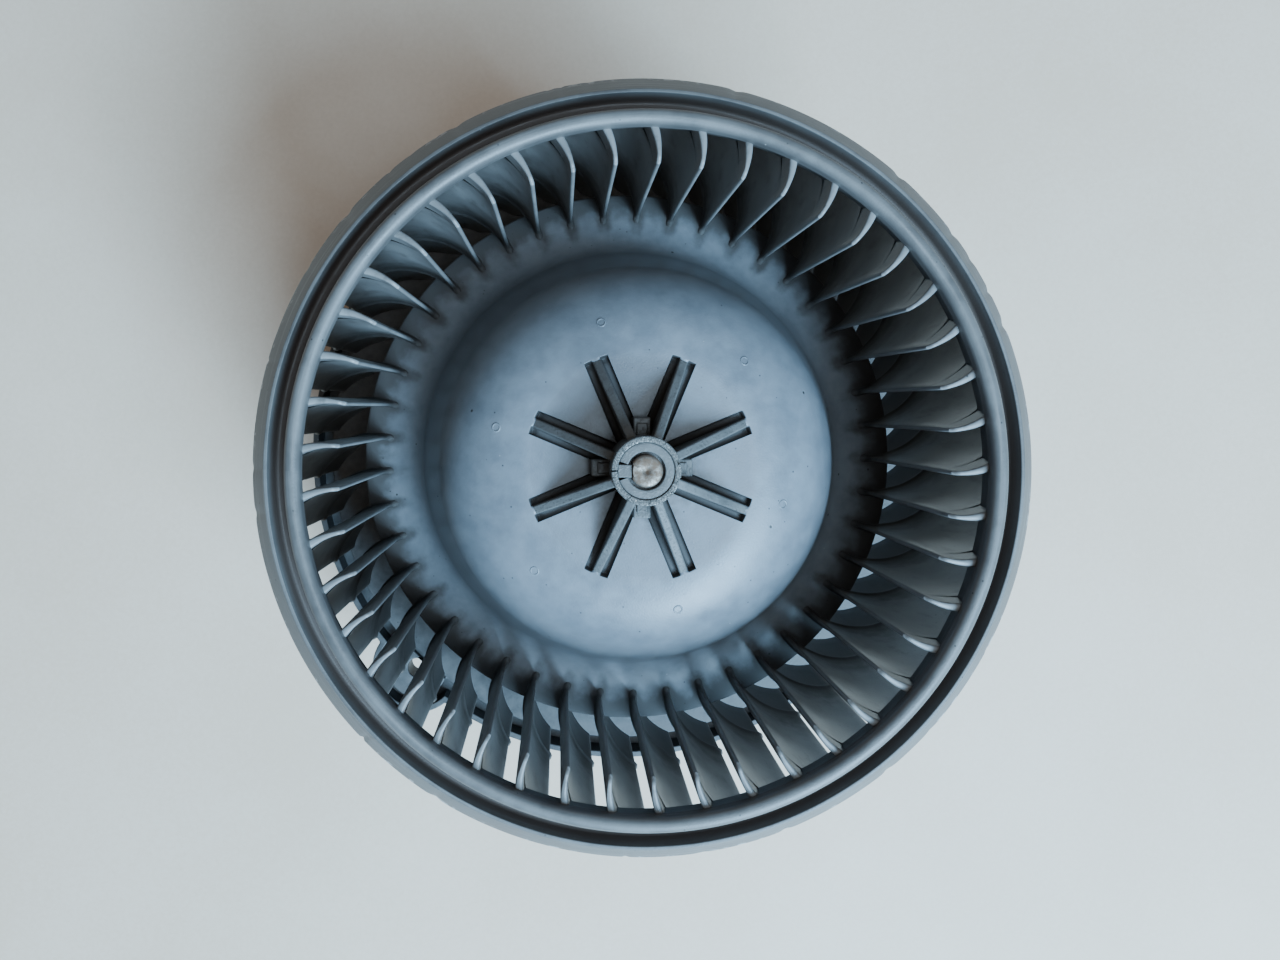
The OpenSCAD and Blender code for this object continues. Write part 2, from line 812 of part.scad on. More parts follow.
module brush_boxes() {
    color([0.74, 0.60, 0.28]) around(2, 0) brush_box();
}

module brush() {
    difference() {
        translate([-brush_w / 2, 0, brush_z]) cube([brush_w, brush_start + brush_len, brush_h]);
        translate([0, 0, brush_z - over]) cylinder(r = brush_start, h = brush_h + 2 * over);
    }
}

module brush_front() {
    color([0.13, 0.13, 0.14]) rotate(180) brush();
}

module brush_back() {
    color([0.13, 0.13, 0.14]) brush();
}

// A coil spring swept as one mesh along its helix, from y_from to y_to
module coil_spring(y_from, y_to, coil_r, wire, turns) {
    sides = 8;
    steps = turns * 12;
    pitch_len = y_to - y_from - wire;
    rings = [
        for (i = [0 : steps]) let (
            a = 360 * turns * i / steps,
            y = y_from + wire / 2 + pitch_len * i / steps
        ) [
            for (k = [0 : sides - 1]) let (
                b = 360 * k / sides,
                r = coil_r + wire / 2 * cos(b)
            ) [r * cos(a), y + wire / 2 * sin(b), r * sin(a)]
        ]
    ];
    points = [for (ring = rings) for (p = ring) p];
    sides_faces = [
        for (i = [0 : steps - 1]) for (k = [0 : sides - 1]) let (
            n = (k + 1) % sides
        ) [i * sides + k, (i + 1) * sides + k, (i + 1) * sides + n, i * sides + n]
    ];
    ends = [
        [for (k = [0 : sides - 1]) k],
        [for (k = [sides - 1 : -1 : 0]) steps * sides + k]
    ];
    translate([0, 0, brush_z + brush_h / 2]) polyhedron(points, concat(sides_faces, ends));
}

module brush_spring() {
    coil_r = 1.9;
    wire = 0.5;
    turns = 6;
    coil_spring(brush_start + brush_len, box_end - box_t, coil_r, wire, turns);
}

module brush_spring_front() {
    color([0.70, 0.71, 0.72]) rotate(180) brush_spring();
}

module brush_spring_back() {
    color([0.70, 0.71, 0.72]) brush_spring();
}

choke_core_r = 1.5;
choke_coil_r = 2.8;
choke_out = 6.5;
choke_x = -(card_hole_r + choke_out);
choke_y = 6;
choke_len = 10;
choke_z = card_z + card_t + choke_coil_r;

module choke_cores() {
    longer = 2;
    color([0.18, 0.18, 0.19]) for (side = [-1, 1])
        translate([choke_x, side * (choke_y + choke_len / 2), choke_z]) rotate([90, 0, 0])
            cylinder(r = choke_core_r, h = choke_len + longer, center = true, $fn = 32);
}

module choke_coils() {
    color([0.66, 0.34, 0.16]) for (side = [-1, 1])
        translate([choke_x, side * (choke_y + choke_len / 2), choke_z]) rotate([90, 0, 0])
            difference() {
                cylinder(r = choke_coil_r, h = choke_len, center = true, $fn = 32);
                cylinder(r = choke_core_r, h = choke_len + over, center = true, $fn = 32);
            }
}

module suppressor_capacitor() {
    size = [4, 12, 7];
    color([0.20, 0.30, 0.55])
        translate([-choke_x - size[0] / 2, -size[1] / 2, card_z + card_t]) cube(size);
}

module lead_wires() {
    color([0.75, 0.12, 0.10]) for (side = [-1, 1])
        translate([wire_x, side * terminal_pitch / 2, terminal_z + terminal_t])
            cylinder(r = wire_r, h = card_z + card_t - terminal_z - terminal_t, $fn = 32);
}

module terminals() {
    color([0.78, 0.76, 0.70]) for (side = [-1, 1])
        translate([terminal_x, side * terminal_pitch / 2 - terminal_w / 2, terminal_z])
            cube([wire_x + wire_r - terminal_x, terminal_w, terminal_t]);
}

module rubber_pads() {
    pad_deg = 15;
    low_inset = 2;
    top_inset = 3;
    pad_low_z = max(can_bottom_z, cup_bottom_z) + low_inset;
    pad_top_z = cup_rise - top_inset;
    reach = 2 * can_r;
    color([0.07, 0.07, 0.07]) around(3, 60) translate([0, 0, pad_low_z])
        linear_extrude(pad_top_z - pad_low_z) intersection() {
            difference() {
                circle(cup_in_r);
                circle(can_r);
            }
            polygon([
                [0, 0],
                [reach * cos(pad_deg), -reach * sin(pad_deg)],
                [reach * cos(pad_deg), reach * sin(pad_deg)]
            ]);
        }
}

module motor_cover() {
    spigot_t = 2;
    spigot_h = 3;
    vent_count = 8;
    vent_w = 3;
    vent_from = 12;
    vent_len = 10;
    joint_z = cup_bottom_z - slip_clear;
    color([0.10, 0.10, 0.105]) difference() {
        union() {
            translate([0, 0, cover_z]) tube(cup_out_r, foot_in_r, foot_rise + over);
            translate([0, 0, cover_z + foot_rise]) cylinder(r = cup_out_r, h = cover_floor_t);
            translate([0, 0, cover_z + foot_rise])
                tube(cup_out_r, cup_in_r, joint_z - cover_z - foot_rise);
            translate([0, 0, cover_z + foot_rise])
                tube(cup_in_r - slip_clear, cup_in_r - slip_clear - spigot_t,
                     joint_z + spigot_h - cover_z - foot_rise);
            translate([0, 0, cover_z + foot_rise]) tube(cup_in_r + over / 2,
                cup_in_r - over, cover_floor_t + over);
            translate([0, 0, cover_z + foot_rise]) tube(seat_r, seat_r - seat_t,
                can_bottom_z - shield_t - cover_z - foot_rise);
            around(post_count) translate([0, 0, joint_z - cover_lug_t]) {
                translate([post_at_r, 0, 0]) cylinder(r = post_r, h = cover_lug_t);
                translate([cup_out_r - cup_t / 2, -post_r, 0])
                    cube([post_at_r - cup_out_r + cup_t / 2, 2 * post_r, cover_lug_t]);
            }
        }
        around(post_count) translate([post_at_r, 0, joint_z - cover_lug_t - over])
            cylinder(r = screw_r + slip_clear, h = cover_lug_t + 2 * over);
        around(vent_count) translate([vent_from, -vent_w / 2, cover_z - over])
            cube([vent_len, vent_w, foot_rise + cover_floor_t + 2 * over]);
    }
}

module cover_screws() {
    head_z = cup_bottom_z - slip_clear - cover_lug_t - screw_head_h;
    socket_r = 1.6;
    socket_depth = 1.4;
    tip_gap = 2;
    color([0.60, 0.60, 0.58]) around(post_count) translate([post_at_r, 0, 0]) difference() {
        union() {
            translate([0, 0, head_z]) cylinder(r = screw_head_r, h = screw_head_h);
            translate([0, 0, head_z])
                cylinder(r = screw_r, h = cup_bottom_z + screw_len - tip_gap - head_z);
        }
        translate([0, 0, head_z - over]) cylinder(r = socket_r, h = socket_depth + over, $fn = 6);
    }
}

fan_wheel();
hub_clamp();
motor_shaft();
armature_core();
end_insulators();
armature_windings();
commutator_hub();
commutator_bars();
thrust_washers();
motor_flange();
motor_can();
field_magnets();
magnet_springs();
upper_bushing();
lower_bushing();
upper_bush_clip();
lower_bush_clip();
end_shield();
thrust_button();
brush_card();
brush_boxes();
brush_front();
brush_back();
brush_spring_front();
brush_spring_back();
choke_cores();
choke_coils();
suppressor_capacitor();
lead_wires();
terminals();
rubber_pads();
motor_cover();
cover_screws();
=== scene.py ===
"""Looks of a flanged heater blower: a moulded, forward-curved wheel on a direct-current motor.

Lengths in this script are millimetres, as on the part's drawing, and MM turns them into metres.
The axis is Z, the inlet is up, and Z 0 is the face of the flange's rim.
"""
import json
import math
import random

import bmesh
import bpy
import numpy as np
from mathutils import Matrix, Vector

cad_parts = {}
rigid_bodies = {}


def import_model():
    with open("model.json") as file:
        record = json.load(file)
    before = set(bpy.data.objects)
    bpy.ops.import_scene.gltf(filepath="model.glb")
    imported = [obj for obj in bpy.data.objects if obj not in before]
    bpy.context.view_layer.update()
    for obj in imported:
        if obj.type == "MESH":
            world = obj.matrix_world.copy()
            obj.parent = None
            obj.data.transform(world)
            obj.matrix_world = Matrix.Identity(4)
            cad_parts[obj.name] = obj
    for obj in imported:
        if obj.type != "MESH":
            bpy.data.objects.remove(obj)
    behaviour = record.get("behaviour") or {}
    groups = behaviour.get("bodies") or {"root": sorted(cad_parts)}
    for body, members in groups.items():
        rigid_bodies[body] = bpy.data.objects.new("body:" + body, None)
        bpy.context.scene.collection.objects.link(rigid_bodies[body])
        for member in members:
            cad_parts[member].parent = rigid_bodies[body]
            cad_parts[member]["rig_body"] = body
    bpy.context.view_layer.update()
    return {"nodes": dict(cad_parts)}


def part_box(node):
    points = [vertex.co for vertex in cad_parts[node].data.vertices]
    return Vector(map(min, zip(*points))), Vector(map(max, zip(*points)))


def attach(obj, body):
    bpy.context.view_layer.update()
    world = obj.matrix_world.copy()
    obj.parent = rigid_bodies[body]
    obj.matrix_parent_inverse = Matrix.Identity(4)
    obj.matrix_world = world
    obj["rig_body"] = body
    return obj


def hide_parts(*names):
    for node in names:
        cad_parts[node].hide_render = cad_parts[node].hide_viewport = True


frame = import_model()
nodes = frame["nodes"]
MM = 0.001
chance = random.Random(45)

# Sizes that the CAD nodes give
wheel_r = (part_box("fan_wheel")[1] / MM).x
lip_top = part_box("hub_clamp")[1].z / MM
shaft_low, shaft_top = (corner.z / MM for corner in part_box("motor_shaft"))
cover_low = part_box("motor_cover")[0].z / MM


# ---------------------------------------------------------------------------
# Shapes. A shape is a pair: an array of points in millimetres and a list of faces.
# ---------------------------------------------------------------------------

def net(rows, cols, close_rows=False, close_cols=False):
    """Faces of a net of points laid out in rows, joined up at the ends where asked."""
    faces = []
    for i in range(rows if close_rows else rows - 1):
        this, following = i * cols, (i + 1) % rows * cols
        for j in range(cols if close_cols else cols - 1):
            k = (j + 1) % cols
            faces.append((this + j, this + k, following + k, following + j))
    return faces


def end_faces(rows, cols):
    """The two faces that close a net over its first row and its last."""
    last = (rows - 1) * cols
    return [tuple(range(cols)), tuple(last + j for j in range(cols))]


def spun(profile, angles, whole=True):
    """A closed outline of (radius, height) points carried round the axis through the angles."""
    profile, turn = np.array(profile, float), np.radians(angles)
    radius, height = profile[:, 0], profile[:, 1]
    points = np.stack([
        np.outer(np.cos(turn), radius),
        np.outer(np.sin(turn), radius),
        np.tile(height, (len(turn), 1)),
    ], axis=-1).reshape(-1, 3)
    faces = net(len(turn), len(profile), close_rows=whole, close_cols=True)
    if not whole:
        faces += end_faces(len(turn), len(profile))
    return points, faces


def full_turn(count):
    """Directions in degrees, evenly spaced all the way round."""
    return np.arange(count) * 360 / count


def rounded(corners, radius, steps=4):
    """The closed outline with an arc in place of each corner; radius may be one number or one per corner."""
    corners = [np.array(c, float) for c in corners]
    radii = radius if hasattr(radius, "__len__") else [radius] * len(corners)
    outline = []
    for i, corner in enumerate(corners):
        back, ahead = corners[i - 1] - corner, corners[(i + 1) % len(corners)] - corner
        back_len, ahead_len = np.linalg.norm(back), np.linalg.norm(ahead)
        back, ahead = back / back_len, ahead / ahead_len
        half = math.acos(np.clip(back @ ahead, -1, 1)) / 2
        if radii[i] == 0 or half > math.radians(89):
            outline.append(tuple(corner))
            continue
        reach = min(radii[i] / math.tan(half), 0.48 * back_len, 0.48 * ahead_len)
        bisector = (back + ahead) / np.linalg.norm(back + ahead)
        centre = corner + bisector * reach / math.cos(half)
        start, end = corner + back * reach - centre, corner + ahead * reach - centre
        first = math.atan2(start[1], start[0])
        sweep = (math.atan2(end[1], end[0]) - first + math.pi) % (2 * math.pi) - math.pi
        size = np.linalg.norm(start)
        for k in range(steps + 1):
            a = first + sweep * k / steps
            outline.append((centre[0] + size * math.cos(a), centre[1] + size * math.sin(a)))
    return outline


def drawn_in(outline, inset):
    """The closed outline moved towards its inside, point by point."""
    outline = np.array(outline, float)
    along = np.roll(outline, -1, 0) - outline
    area = (outline[:, 0] * np.roll(outline[:, 1], -1) - outline[:, 1] * np.roll(outline[:, 0], -1)).sum()
    inward = np.stack([-along[:, 1], along[:, 0]], 1) * np.sign(area)
    inward /= np.maximum(np.linalg.norm(inward, axis=1, keepdims=True), 1e-9)
    before = np.roll(inward, 1, 0)
    mitre = inward + before
    mitre /= np.maximum((mitre * inward).sum(1, keepdims=True), 0.3)
    return outline + mitre * inset


def plate(outline, low, high, edge, steps=3):
    """A flat piece of that outline from low to high, with its two rims rounded."""
    levels = []
    for k in range(steps + 1):
        a = math.pi / 2 * k / steps
        levels.append((edge * (1 - math.sin(a)), low + edge * (1 - math.cos(a))))
    levels += [(inset, low + high - z) for inset, z in reversed(levels)]
    rows = [np.column_stack([drawn_in(outline, inset), np.full(len(outline), z)]) for inset, z in levels]
    faces = net(len(rows), len(outline), close_cols=True) + end_faces(len(rows), len(outline))
    return np.concatenate(rows), faces


def on_edge(shape):
    """The shape stood up: its second direction becomes height and its thickness lies across."""
    points, faces = shape
    return points[:, [0, 2, 1]], faces


def turned(shape, degrees):
    """The shape turned about the axis."""
    points, faces = shape
    a = math.radians(degrees)
    spin = np.array([[math.cos(a), math.sin(a), 0], [-math.sin(a), math.cos(a), 0], [0, 0, 1]])
    return points @ spin, faces


def around(shape, count, start=0.0):
    """Copies of the shape, evenly spaced round the axis."""
    return [turned(shape, start + i * 360 / count) for i in range(count)]


def ease(value, start, end):
    """0 before start, 1 after end, and a smooth rise between."""
    t = np.clip((value - start) / (end - start), 0, 1)
    return t * t * (3 - 2 * t)


def piece(name, shapes, finish, body, stands_for=(), sharp=38, flat_faces=False):
    """Makes one object of the shapes, in the row frame, and lets it ride on its body."""
    points, faces, start = [], [], 0
    for shape_points, shape_faces in shapes:
        points.append(shape_points)
        faces += [tuple(start + i for i in face) for face in shape_faces]
        start += len(shape_points)
    mesh = bpy.data.meshes.new(name)
    mesh.from_pydata((np.concatenate(points) * MM).tolist(), [], faces)
    made = bmesh.new()
    made.from_mesh(mesh)
    bmesh.ops.recalc_face_normals(made, faces=made.faces)
    made.to_mesh(mesh)
    made.free()
    return finished(name, mesh, finish, body, stands_for, sharp, flat_faces)


def finished(name, mesh, finish, body, stands_for, sharp, flat_faces):
    """Gives a mesh its shading and finish and makes it an object that rides on its body."""
    mesh.polygons.foreach_set("use_smooth", [True] * len(mesh.polygons))
    mesh.set_sharp_from_angle(angle=math.radians(sharp))
    mesh.materials.clear()
    mesh.materials.append(finish.material)
    made = bpy.data.objects.new(name, mesh)
    bpy.context.scene.collection.objects.link(made)
    if flat_faces:
        weighted = made.modifiers.new("even_faces", "WEIGHTED_NORMAL")
        weighted.keep_sharp = True
    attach(made, body)
    if stands_for:
        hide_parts(*stands_for)
    return made


def eased(node, name, finish, edge):
    """A copy of a CAD node with its hard edges rounded off, which stands for the node."""
    weld, flat, hard, sharp = 0.002, math.radians(0.6), math.radians(28), 44
    made = bmesh.new()
    made.from_mesh(nodes[node].data)
    bmesh.ops.remove_doubles(made, verts=made.verts, dist=weld * MM)
    bmesh.ops.dissolve_limit(made, angle_limit=flat, verts=made.verts, edges=made.edges)
    edges = [e for e in made.edges if len(e.link_faces) == 2 and e.calc_face_angle() > hard]
    bmesh.ops.bevel(made, geom=edges, offset=edge * MM, offset_type="OFFSET", segments=2,
                    profile=0.5, affect="EDGES", clamp_overlap=False)
    bmesh.ops.recalc_face_normals(made, faces=made.faces)
    mesh = bpy.data.meshes.new(name)
    made.to_mesh(mesh)
    made.free()
    return finished(name, mesh, finish, nodes[node]["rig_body"], [node], sharp, True)


# ---------------------------------------------------------------------------
# Finishes. Python's operators on a Field add the Math nodes.
# ---------------------------------------------------------------------------

class Field:
    """One output in a finish's node tree: a value, a colour or a vector that changes over the surface."""

    def __init__(self, finish, socket):
        self.finish = finish
        self.socket = socket

    def math(self, operation, first, second):
        return self.finish.node("ShaderNodeMath", {"operation": operation}, {0: first, 1: second})

    def __add__(self, other):
        return self.math("ADD", self, other)

    def __radd__(self, other):
        return self.math("ADD", other, self)

    def __sub__(self, other):
        return self.math("SUBTRACT", self, other)

    def __rsub__(self, other):
        return self.math("SUBTRACT", other, self)

    def __mul__(self, other):
        return self.math("MULTIPLY", self, other)

    def __rmul__(self, other):
        return self.math("MULTIPLY", other, self)

    def __truediv__(self, other):
        return self.math("DIVIDE", self, other)

    def __pow__(self, other):
        return self.math("POWER", self, other)

    def __lt__(self, other):
        return self.math("LESS_THAN", self, other)

    def size(self):
        """How far the value is from 0, whichever way."""
        return self.math("ABSOLUTE", self, 0.0)

    def fraction(self):
        """What is left of the value above the whole number below it."""
        return self.math("FRACT", self, 0.0)


class Finish:
    """A material made of nodes. Places in it are millimetres in the row frame."""

    def __init__(self, name, **constants):
        self.material = bpy.data.materials.new(name)
        self.material.use_nodes = True
        self.tree = self.material.node_tree
        self.shader = self.tree.nodes["Principled BSDF"]
        for socket, value in constants.items():
            self.shader.inputs[socket.replace("_", " ")].default_value = value
        metres = self.node("ShaderNodeTexCoord", output="Object")
        self.place = self.node("ShaderNodeVectorMath", {"operation": "SCALE"}, {0: metres, "Scale": 1 / MM})
        self.x, self.y, self.z = self.parts(self.place)
        self.radius = (self.x * self.x + self.y * self.y) ** 0.5
        self.angle = self.x.math("ARCTAN2", self.y, self.x)
        facing = self.node("ShaderNodeTexCoord", output="Normal")
        self.up = self.parts(facing)[2]

    def node(self, kind, settings=None, inputs=None, output=0):
        """Adds a node: its settings first, then its sockets' values or links; gives one output."""
        made = self.tree.nodes.new(kind)
        for key, value in (settings or {}).items():
            setattr(made, key, value)
        for key, value in (inputs or {}).items():
            if isinstance(value, Field):
                self.tree.links.new(value.socket, made.inputs[key])
            else:
                made.inputs[key].default_value = value
        return Field(self, made.outputs[output])

    def parts(self, vector):
        split = self.node("ShaderNodeSeparateXYZ", inputs={0: vector})
        return [Field(self, socket) for socket in split.socket.node.outputs]

    def spot(self, x, y, z):
        """A place made of three values."""
        return self.node("ShaderNodeCombineXYZ", inputs={0: x, 1: y, 2: z})

    def grain(self, size, detail=3.0, harshness=0.55, at=None):
        """Soft cloudy variation about 0.5, with features of that size."""
        return self.node("ShaderNodeTexNoise", inputs={
            "Vector": at or self.place, "Scale": 1 / size, "Detail": detail, "Roughness": harshness})

    def cells(self, size, output="Distance"):
        """Distance from the middle of scattered cells, in cell sizes, or a colour for each cell."""
        return self.node("ShaderNodeTexVoronoi", inputs={
            "Vector": self.place, "Scale": 1 / size}, output=output)

    def rise(self, value, start, end):
        """0 where the value is at start, 1 where it is at end, smooth between."""
        return self.node("ShaderNodeMapRange", {"interpolation_type": "SMOOTHSTEP"}, {
            "Value": value, "From Min": start, "From Max": end, "To Min": 0.0, "To Max": 1.0})

    def ridge(self, value, middle, width):
        """1 where the value is at middle, falling to 0 a width away."""
        return 1 - self.rise((value - middle).size(), 0.0, width)

    def nearest(self, angle, step):
        """Angle to the nearest of a ring of directions that stand a step apart."""
        turns = angle / step
        return (turns - turns.math("ROUND", turns, 0.0)).size() * step

    def specks(self, spacing, size, share):
        """1 on scattered round specks: spacing apart, size across, on that share of the places."""
        chosen = self.parts(self.cells(spacing, "Color"))[0] < share
        return (1 - self.rise(self.cells(spacing), 0.3 * size / spacing, 0.5 * size / spacing)) * chosen

    def tint(self, mask, colour, other):
        """The first colour where the mask is 0, the other where it is 1."""
        colours = {0: mask}
        for key, value in ((6, colour), (7, other)):
            colours[key] = value if isinstance(value, Field) else (*value, 1.0)
        return self.node("ShaderNodeMix", {"data_type": "RGBA"}, colours, output=2)

    def use(self, colour, roughness, relief=None, depth=0.1, metallic=None):
        """Feeds the shader; relief is a height of 0 to 1 that stands for depth millimetres."""
        wanted = {"Base Color": colour, "Roughness": roughness}
        if metallic is not None:
            wanted["Metallic"] = metallic
        if relief is not None:
            wanted["Normal"] = self.node("ShaderNodeBump", inputs={
                "Strength": 1.0, "Distance": depth * MM, "Height": relief})
        for socket, value in wanted.items():
            if isinstance(value, Field):
                self.tree.links.new(value.socket, self.shader.inputs[socket])
            else:
                self.shader.inputs[socket].default_value = value
        return self


def moulded(name, dark, light, film_colour, film, gloss=0.38):
    """Satin moulded plastic with a pale film on what faces up: partly dust, partly a painted sheen of the
    light from above.
    """
    f = Finish(name, IOR=1.49)
    cloud = f.grain(9.0, 4.0)
    fine = f.grain(0.35, 2.0)
    smudge = f.grain(3.1, 5.0)
    colour = f.tint(f.rise(cloud, 0.3, 0.7), dark, light)
    # the film on what faces up: partly dust, partly a painted sheen of the light from above
    dust_and_sheen = f.rise(f.up, 0.1, 0.95) * f.rise(cloud * 0.4 + smudge * 0.6, 0.2, 0.8)
    colour = f.tint(dust_and_sheen * film, colour, film_colour)
    colour = f.tint(f.specks(1.7, 0.42, 0.16), colour, [0.35 * c for c in dark])
    colour = f.tint(f.specks(3.1, 0.35, 0.12) * 0.7, colour, (0.42, 0.41, 0.39))
    rough = gloss + dust_and_sheen * film * 0.35 + (cloud - 0.5) * 0.16 + (fine - 0.5) * 0.05
    return f, colour, rough, fine * 0.7 + cloud * 0.3


def ring_plastic():
    """The inlet ring: dusty, rubbed along its turn, with pale nicks on its outer edge."""
    f, colour, rough, relief = moulded(
        "ring_plastic", (0.075, 0.07, 0.068), (0.105, 0.1, 0.097), (0.18, 0.175, 0.17), 0.5)
    rubbed = f.rise(f.grain(0.9, 3.0, at=f.spot(f.radius * 1.4, f.angle * 2.5, f.z * 1.4)), 0.5, 0.8)
    # painted shade: the groove between the lip and the ridge is darkened brown
    groove = f.rise(f.radius, lip_out - 1.2, lip_out) * (1 - f.rise(f.radius, ridge_r - 0.6, ridge_r)) * (
        1 - f.rise(f.z, lip_top - 7.0, lip_top - 4.0))
    edge = f.rise(f.radius, wheel_r - 0.9, wheel_r - 0.1) * f.rise(f.z, lip_top - 12.2, lip_top - 10.4)
    nicks = f.rise(f.grain(2.3, 2.0), 0.56, 0.66) * edge
    colour = f.tint(rubbed * 0.35, colour, (0.23, 0.225, 0.22))
    colour = f.tint(groove * 0.85, colour, (0.06, 0.042, 0.034))
    colour = f.tint(nicks * 0.8, colour, (0.46, 0.45, 0.44))
    return f.use(colour, rough + nicks * 0.2 - rubbed * 0.06, relief - nicks * 0.8, 0.05)


def blade_plastic():
    """The blades: painted brown-black shade low down, pale along the inner edges and the tops."""
    f, colour, rough, relief = moulded(
        "blade_plastic", (0.15, 0.145, 0.142), (0.21, 0.205, 0.2), (0.25, 0.25, 0.25), 0.4)
    # painted shade: brown-black low on the blades, towards and under the dome's skirt
    low = 1 - f.rise(f.z + (f.grain(4.0) - 0.5) * 16, 28.0, 48.0)
    inner = (1 - f.rise(f.radius, 57.0, 58.0)) * f.rise(f.z, 30.0, 45.0)
    stain = f.rise(f.grain(3.0, 4.0, at=f.spot(f.x, f.y, f.z * 0.35)), 0.52, 0.75)
    colour = f.tint(stain * 0.45, colour, (0.045, 0.034, 0.027))
    colour = f.tint(low * 0.75, colour, (0.035, 0.028, 0.024))
    colour = f.tint(inner * 0.3, colour, (0.2, 0.2, 0.2))
    return f.use(colour, rough + low * 0.15, relief + stain * 0.2, 0.05)


def dome_plastic():
    """The dome: smooth satin, bluer and lighter for a painted sky sheen, with a painted pale blue reflection
    round the fillet, and painted shade in the grooves beside the gussets, beside the gussets near the hub and
    where the blades are rooted.
    """
    # painted sky reflection: the dome's colours and its film on what faces up are bluer and lighter than the
    # same plastic on the gussets and ring
    f, colour, rough, relief = moulded(
        "dome_plastic", (0.125, 0.138, 0.155), (0.155, 0.168, 0.185), (0.27, 0.30, 0.33), 0.4, gloss=0.31)
    blade_step = 2 * math.pi / blade_count
    rays = f.grain(1.0, 3.0, at=f.spot(f.radius * 0.25, f.angle * 14.0, f.z * 0.2))
    # painted shade: dark brown on the skirt among the blades' roots, strongest by each root
    root = f.nearest(f.angle - math.radians(blade_phase), blade_step) * f.radius
    by_root = 1 - f.rise(root, 0.5, 2.6)
    root_shade = f.rise(f.radius + (rays - 0.5) * 7.0 + by_root * 3.0, 54.0, 59.5)
    # painted reflection: a pale blue sheen of sky round the fillet
    fillet_sheen = f.ridge(f.radius, 51.5, 6.0)
    colour = f.tint(fillet_sheen * f.grain(2.2, 4.0) * 0.5, colour, (0.34, 0.36, 0.38))
    colour = f.tint(root_shade * 0.85, colour, (0.045, 0.036, 0.03))
    beside = f.nearest(f.angle - math.radians(gusset_phase), 2 * math.pi / gusset_count) * f.radius
    # painted shade: the relief grooves beside the gussets are darkened brown
    groove = f.rise(beside, groove_in - 0.2, groove_in + 0.05) * (
        1 - f.rise(beside, groove_out - 0.1, groove_out + 0.1)) * (
        1 - f.rise(f.radius, groove_end - 0.1, groove_end + 0.1))
    # painted shade: darker beside the gussets near the hub
    corner = (1 - f.rise(beside, 2.0, 5.5)) * (1 - f.rise(f.radius, 10.0, 20.0))
    colour = f.tint((1 - f.rise(f.radius, disc_r - 0.1, disc_r + 0.1)) * 0.25, colour, (0.13, 0.14, 0.155))
    colour = f.tint(corner * f.rise(f.grain(1.2, 4.0), 0.2, 0.7) * 0.6, colour, (0.05, 0.045, 0.04))
    colour = f.tint(groove * 0.85, colour, (0.035, 0.029, 0.025))
    pits = f.specks(2.6, 0.75, 0.05) * f.rise(f.radius, 23.5, 26.0)
    colour = f.tint(pits, colour, (0.03, 0.028, 0.026))
    return f.use(colour, rough + root_shade * 0.25 + fillet_sheen * 0.05 + groove * 0.3, relief - pits * 0.8, 0.04)


def gusset_plastic():
    """The gussets and hub: the dome's plastic, dirtier in the corners and rubbed pale on top."""
    f, colour, rough, relief = moulded(
        "gusset_plastic", (0.07, 0.068, 0.066), (0.105, 0.103, 0.1), (0.2, 0.2, 0.197), 0.5)
    gritty = f.rise(f.grain(0.5, 3.0), 0.5, 0.68)
    hub = 1 - f.rise(f.radius, 6.0, 8.0)
    colour = f.tint(gritty * 0.35, colour, (0.04, 0.034, 0.03))
    colour = f.tint(hub * gritty * 0.7, colour, (0.19, 0.18, 0.17))
    return f.use(colour, rough + gritty * 0.12, relief + gritty * 0.4, 0.08)


def flange_plastic(name, film):
    """Black glass-filled plastic, grey with dust on what faces up."""
    f, colour, rough, relief = moulded(
        name, (0.018, 0.018, 0.019), (0.032, 0.032, 0.034), (0.17, 0.165, 0.16), film, gloss=0.42)
    fibres = f.rise(f.grain(0.8, 2.0, at=f.spot(f.x, f.y * 5.0, f.z * 5.0)), 0.58, 0.75)
    scuff = f.rise(f.grain(5.0, 5.0, 0.7), 0.6, 0.72)
    colour = f.tint(fibres * 0.3, colour, (0.08, 0.08, 0.082))
    colour = f.tint(scuff * 0.35, colour, (0.13, 0.125, 0.12))
    return f.use(colour, rough + scuff * 0.12 - fibres * 0.05, relief + fibres * 0.3, 0.05)


def sheet_steel(name, bright, dull):
    """Zinc-plated drawn steel: draw lines up the wall, spangle and a few dull stains."""
    f = Finish(name, Metallic=1.0)
    lines = f.grain(0.6, 2.0, at=f.spot(f.angle * 90.0, f.radius * 2.0, f.z * 0.05))
    stain = f.rise(f.grain(6.0, 5.0, 0.65), 0.5, 0.7)
    spangle = f.parts(f.cells(2.4, "Color"))[0]
    colour = f.tint(spangle * 0.35 + stain * 0.5, bright, dull)
    rust = f.rise(f.grain(3.5, 6.0, 0.7), 0.66, 0.74)
    colour = f.tint(rust * 0.6, colour, (0.16, 0.075, 0.04))
    return f.use(colour, 0.34 + stain * 0.16 + lines * 0.1 + rust * 0.2, lines * 0.6 + rust * 0.6, 0.02,
                 metallic=1 - rust * 0.8)


def clamp_steel():
    """The clamp ring: grey cast look, speckled, with short dark marks that point to the shaft."""
    f = Finish("clamp_steel", Metallic=1.0)
    marks = f.rise(f.grain(1.0, 2.0, at=f.spot(f.angle * 6.0, f.radius * 0.35, 0.0)), 0.56, 0.68)
    pepper = f.rise(f.grain(0.28, 3.0, 0.7), 0.45, 0.62)
    colour = f.tint(pepper, (0.19, 0.187, 0.18), (0.08, 0.074, 0.068))
    colour = f.tint(marks * 0.6, colour, (0.05, 0.045, 0.04))
    glint = f.rise(f.grain(0.45, 2.0), 0.62, 0.7)
    colour = f.tint(glint * 0.7, colour, (0.42, 0.42, 0.4))
    return f.use(colour, 0.5 + pepper * 0.2 - glint * 0.2, pepper * 0.5 + marks, 0.08,
                 metallic=0.75 - pepper * 0.5)


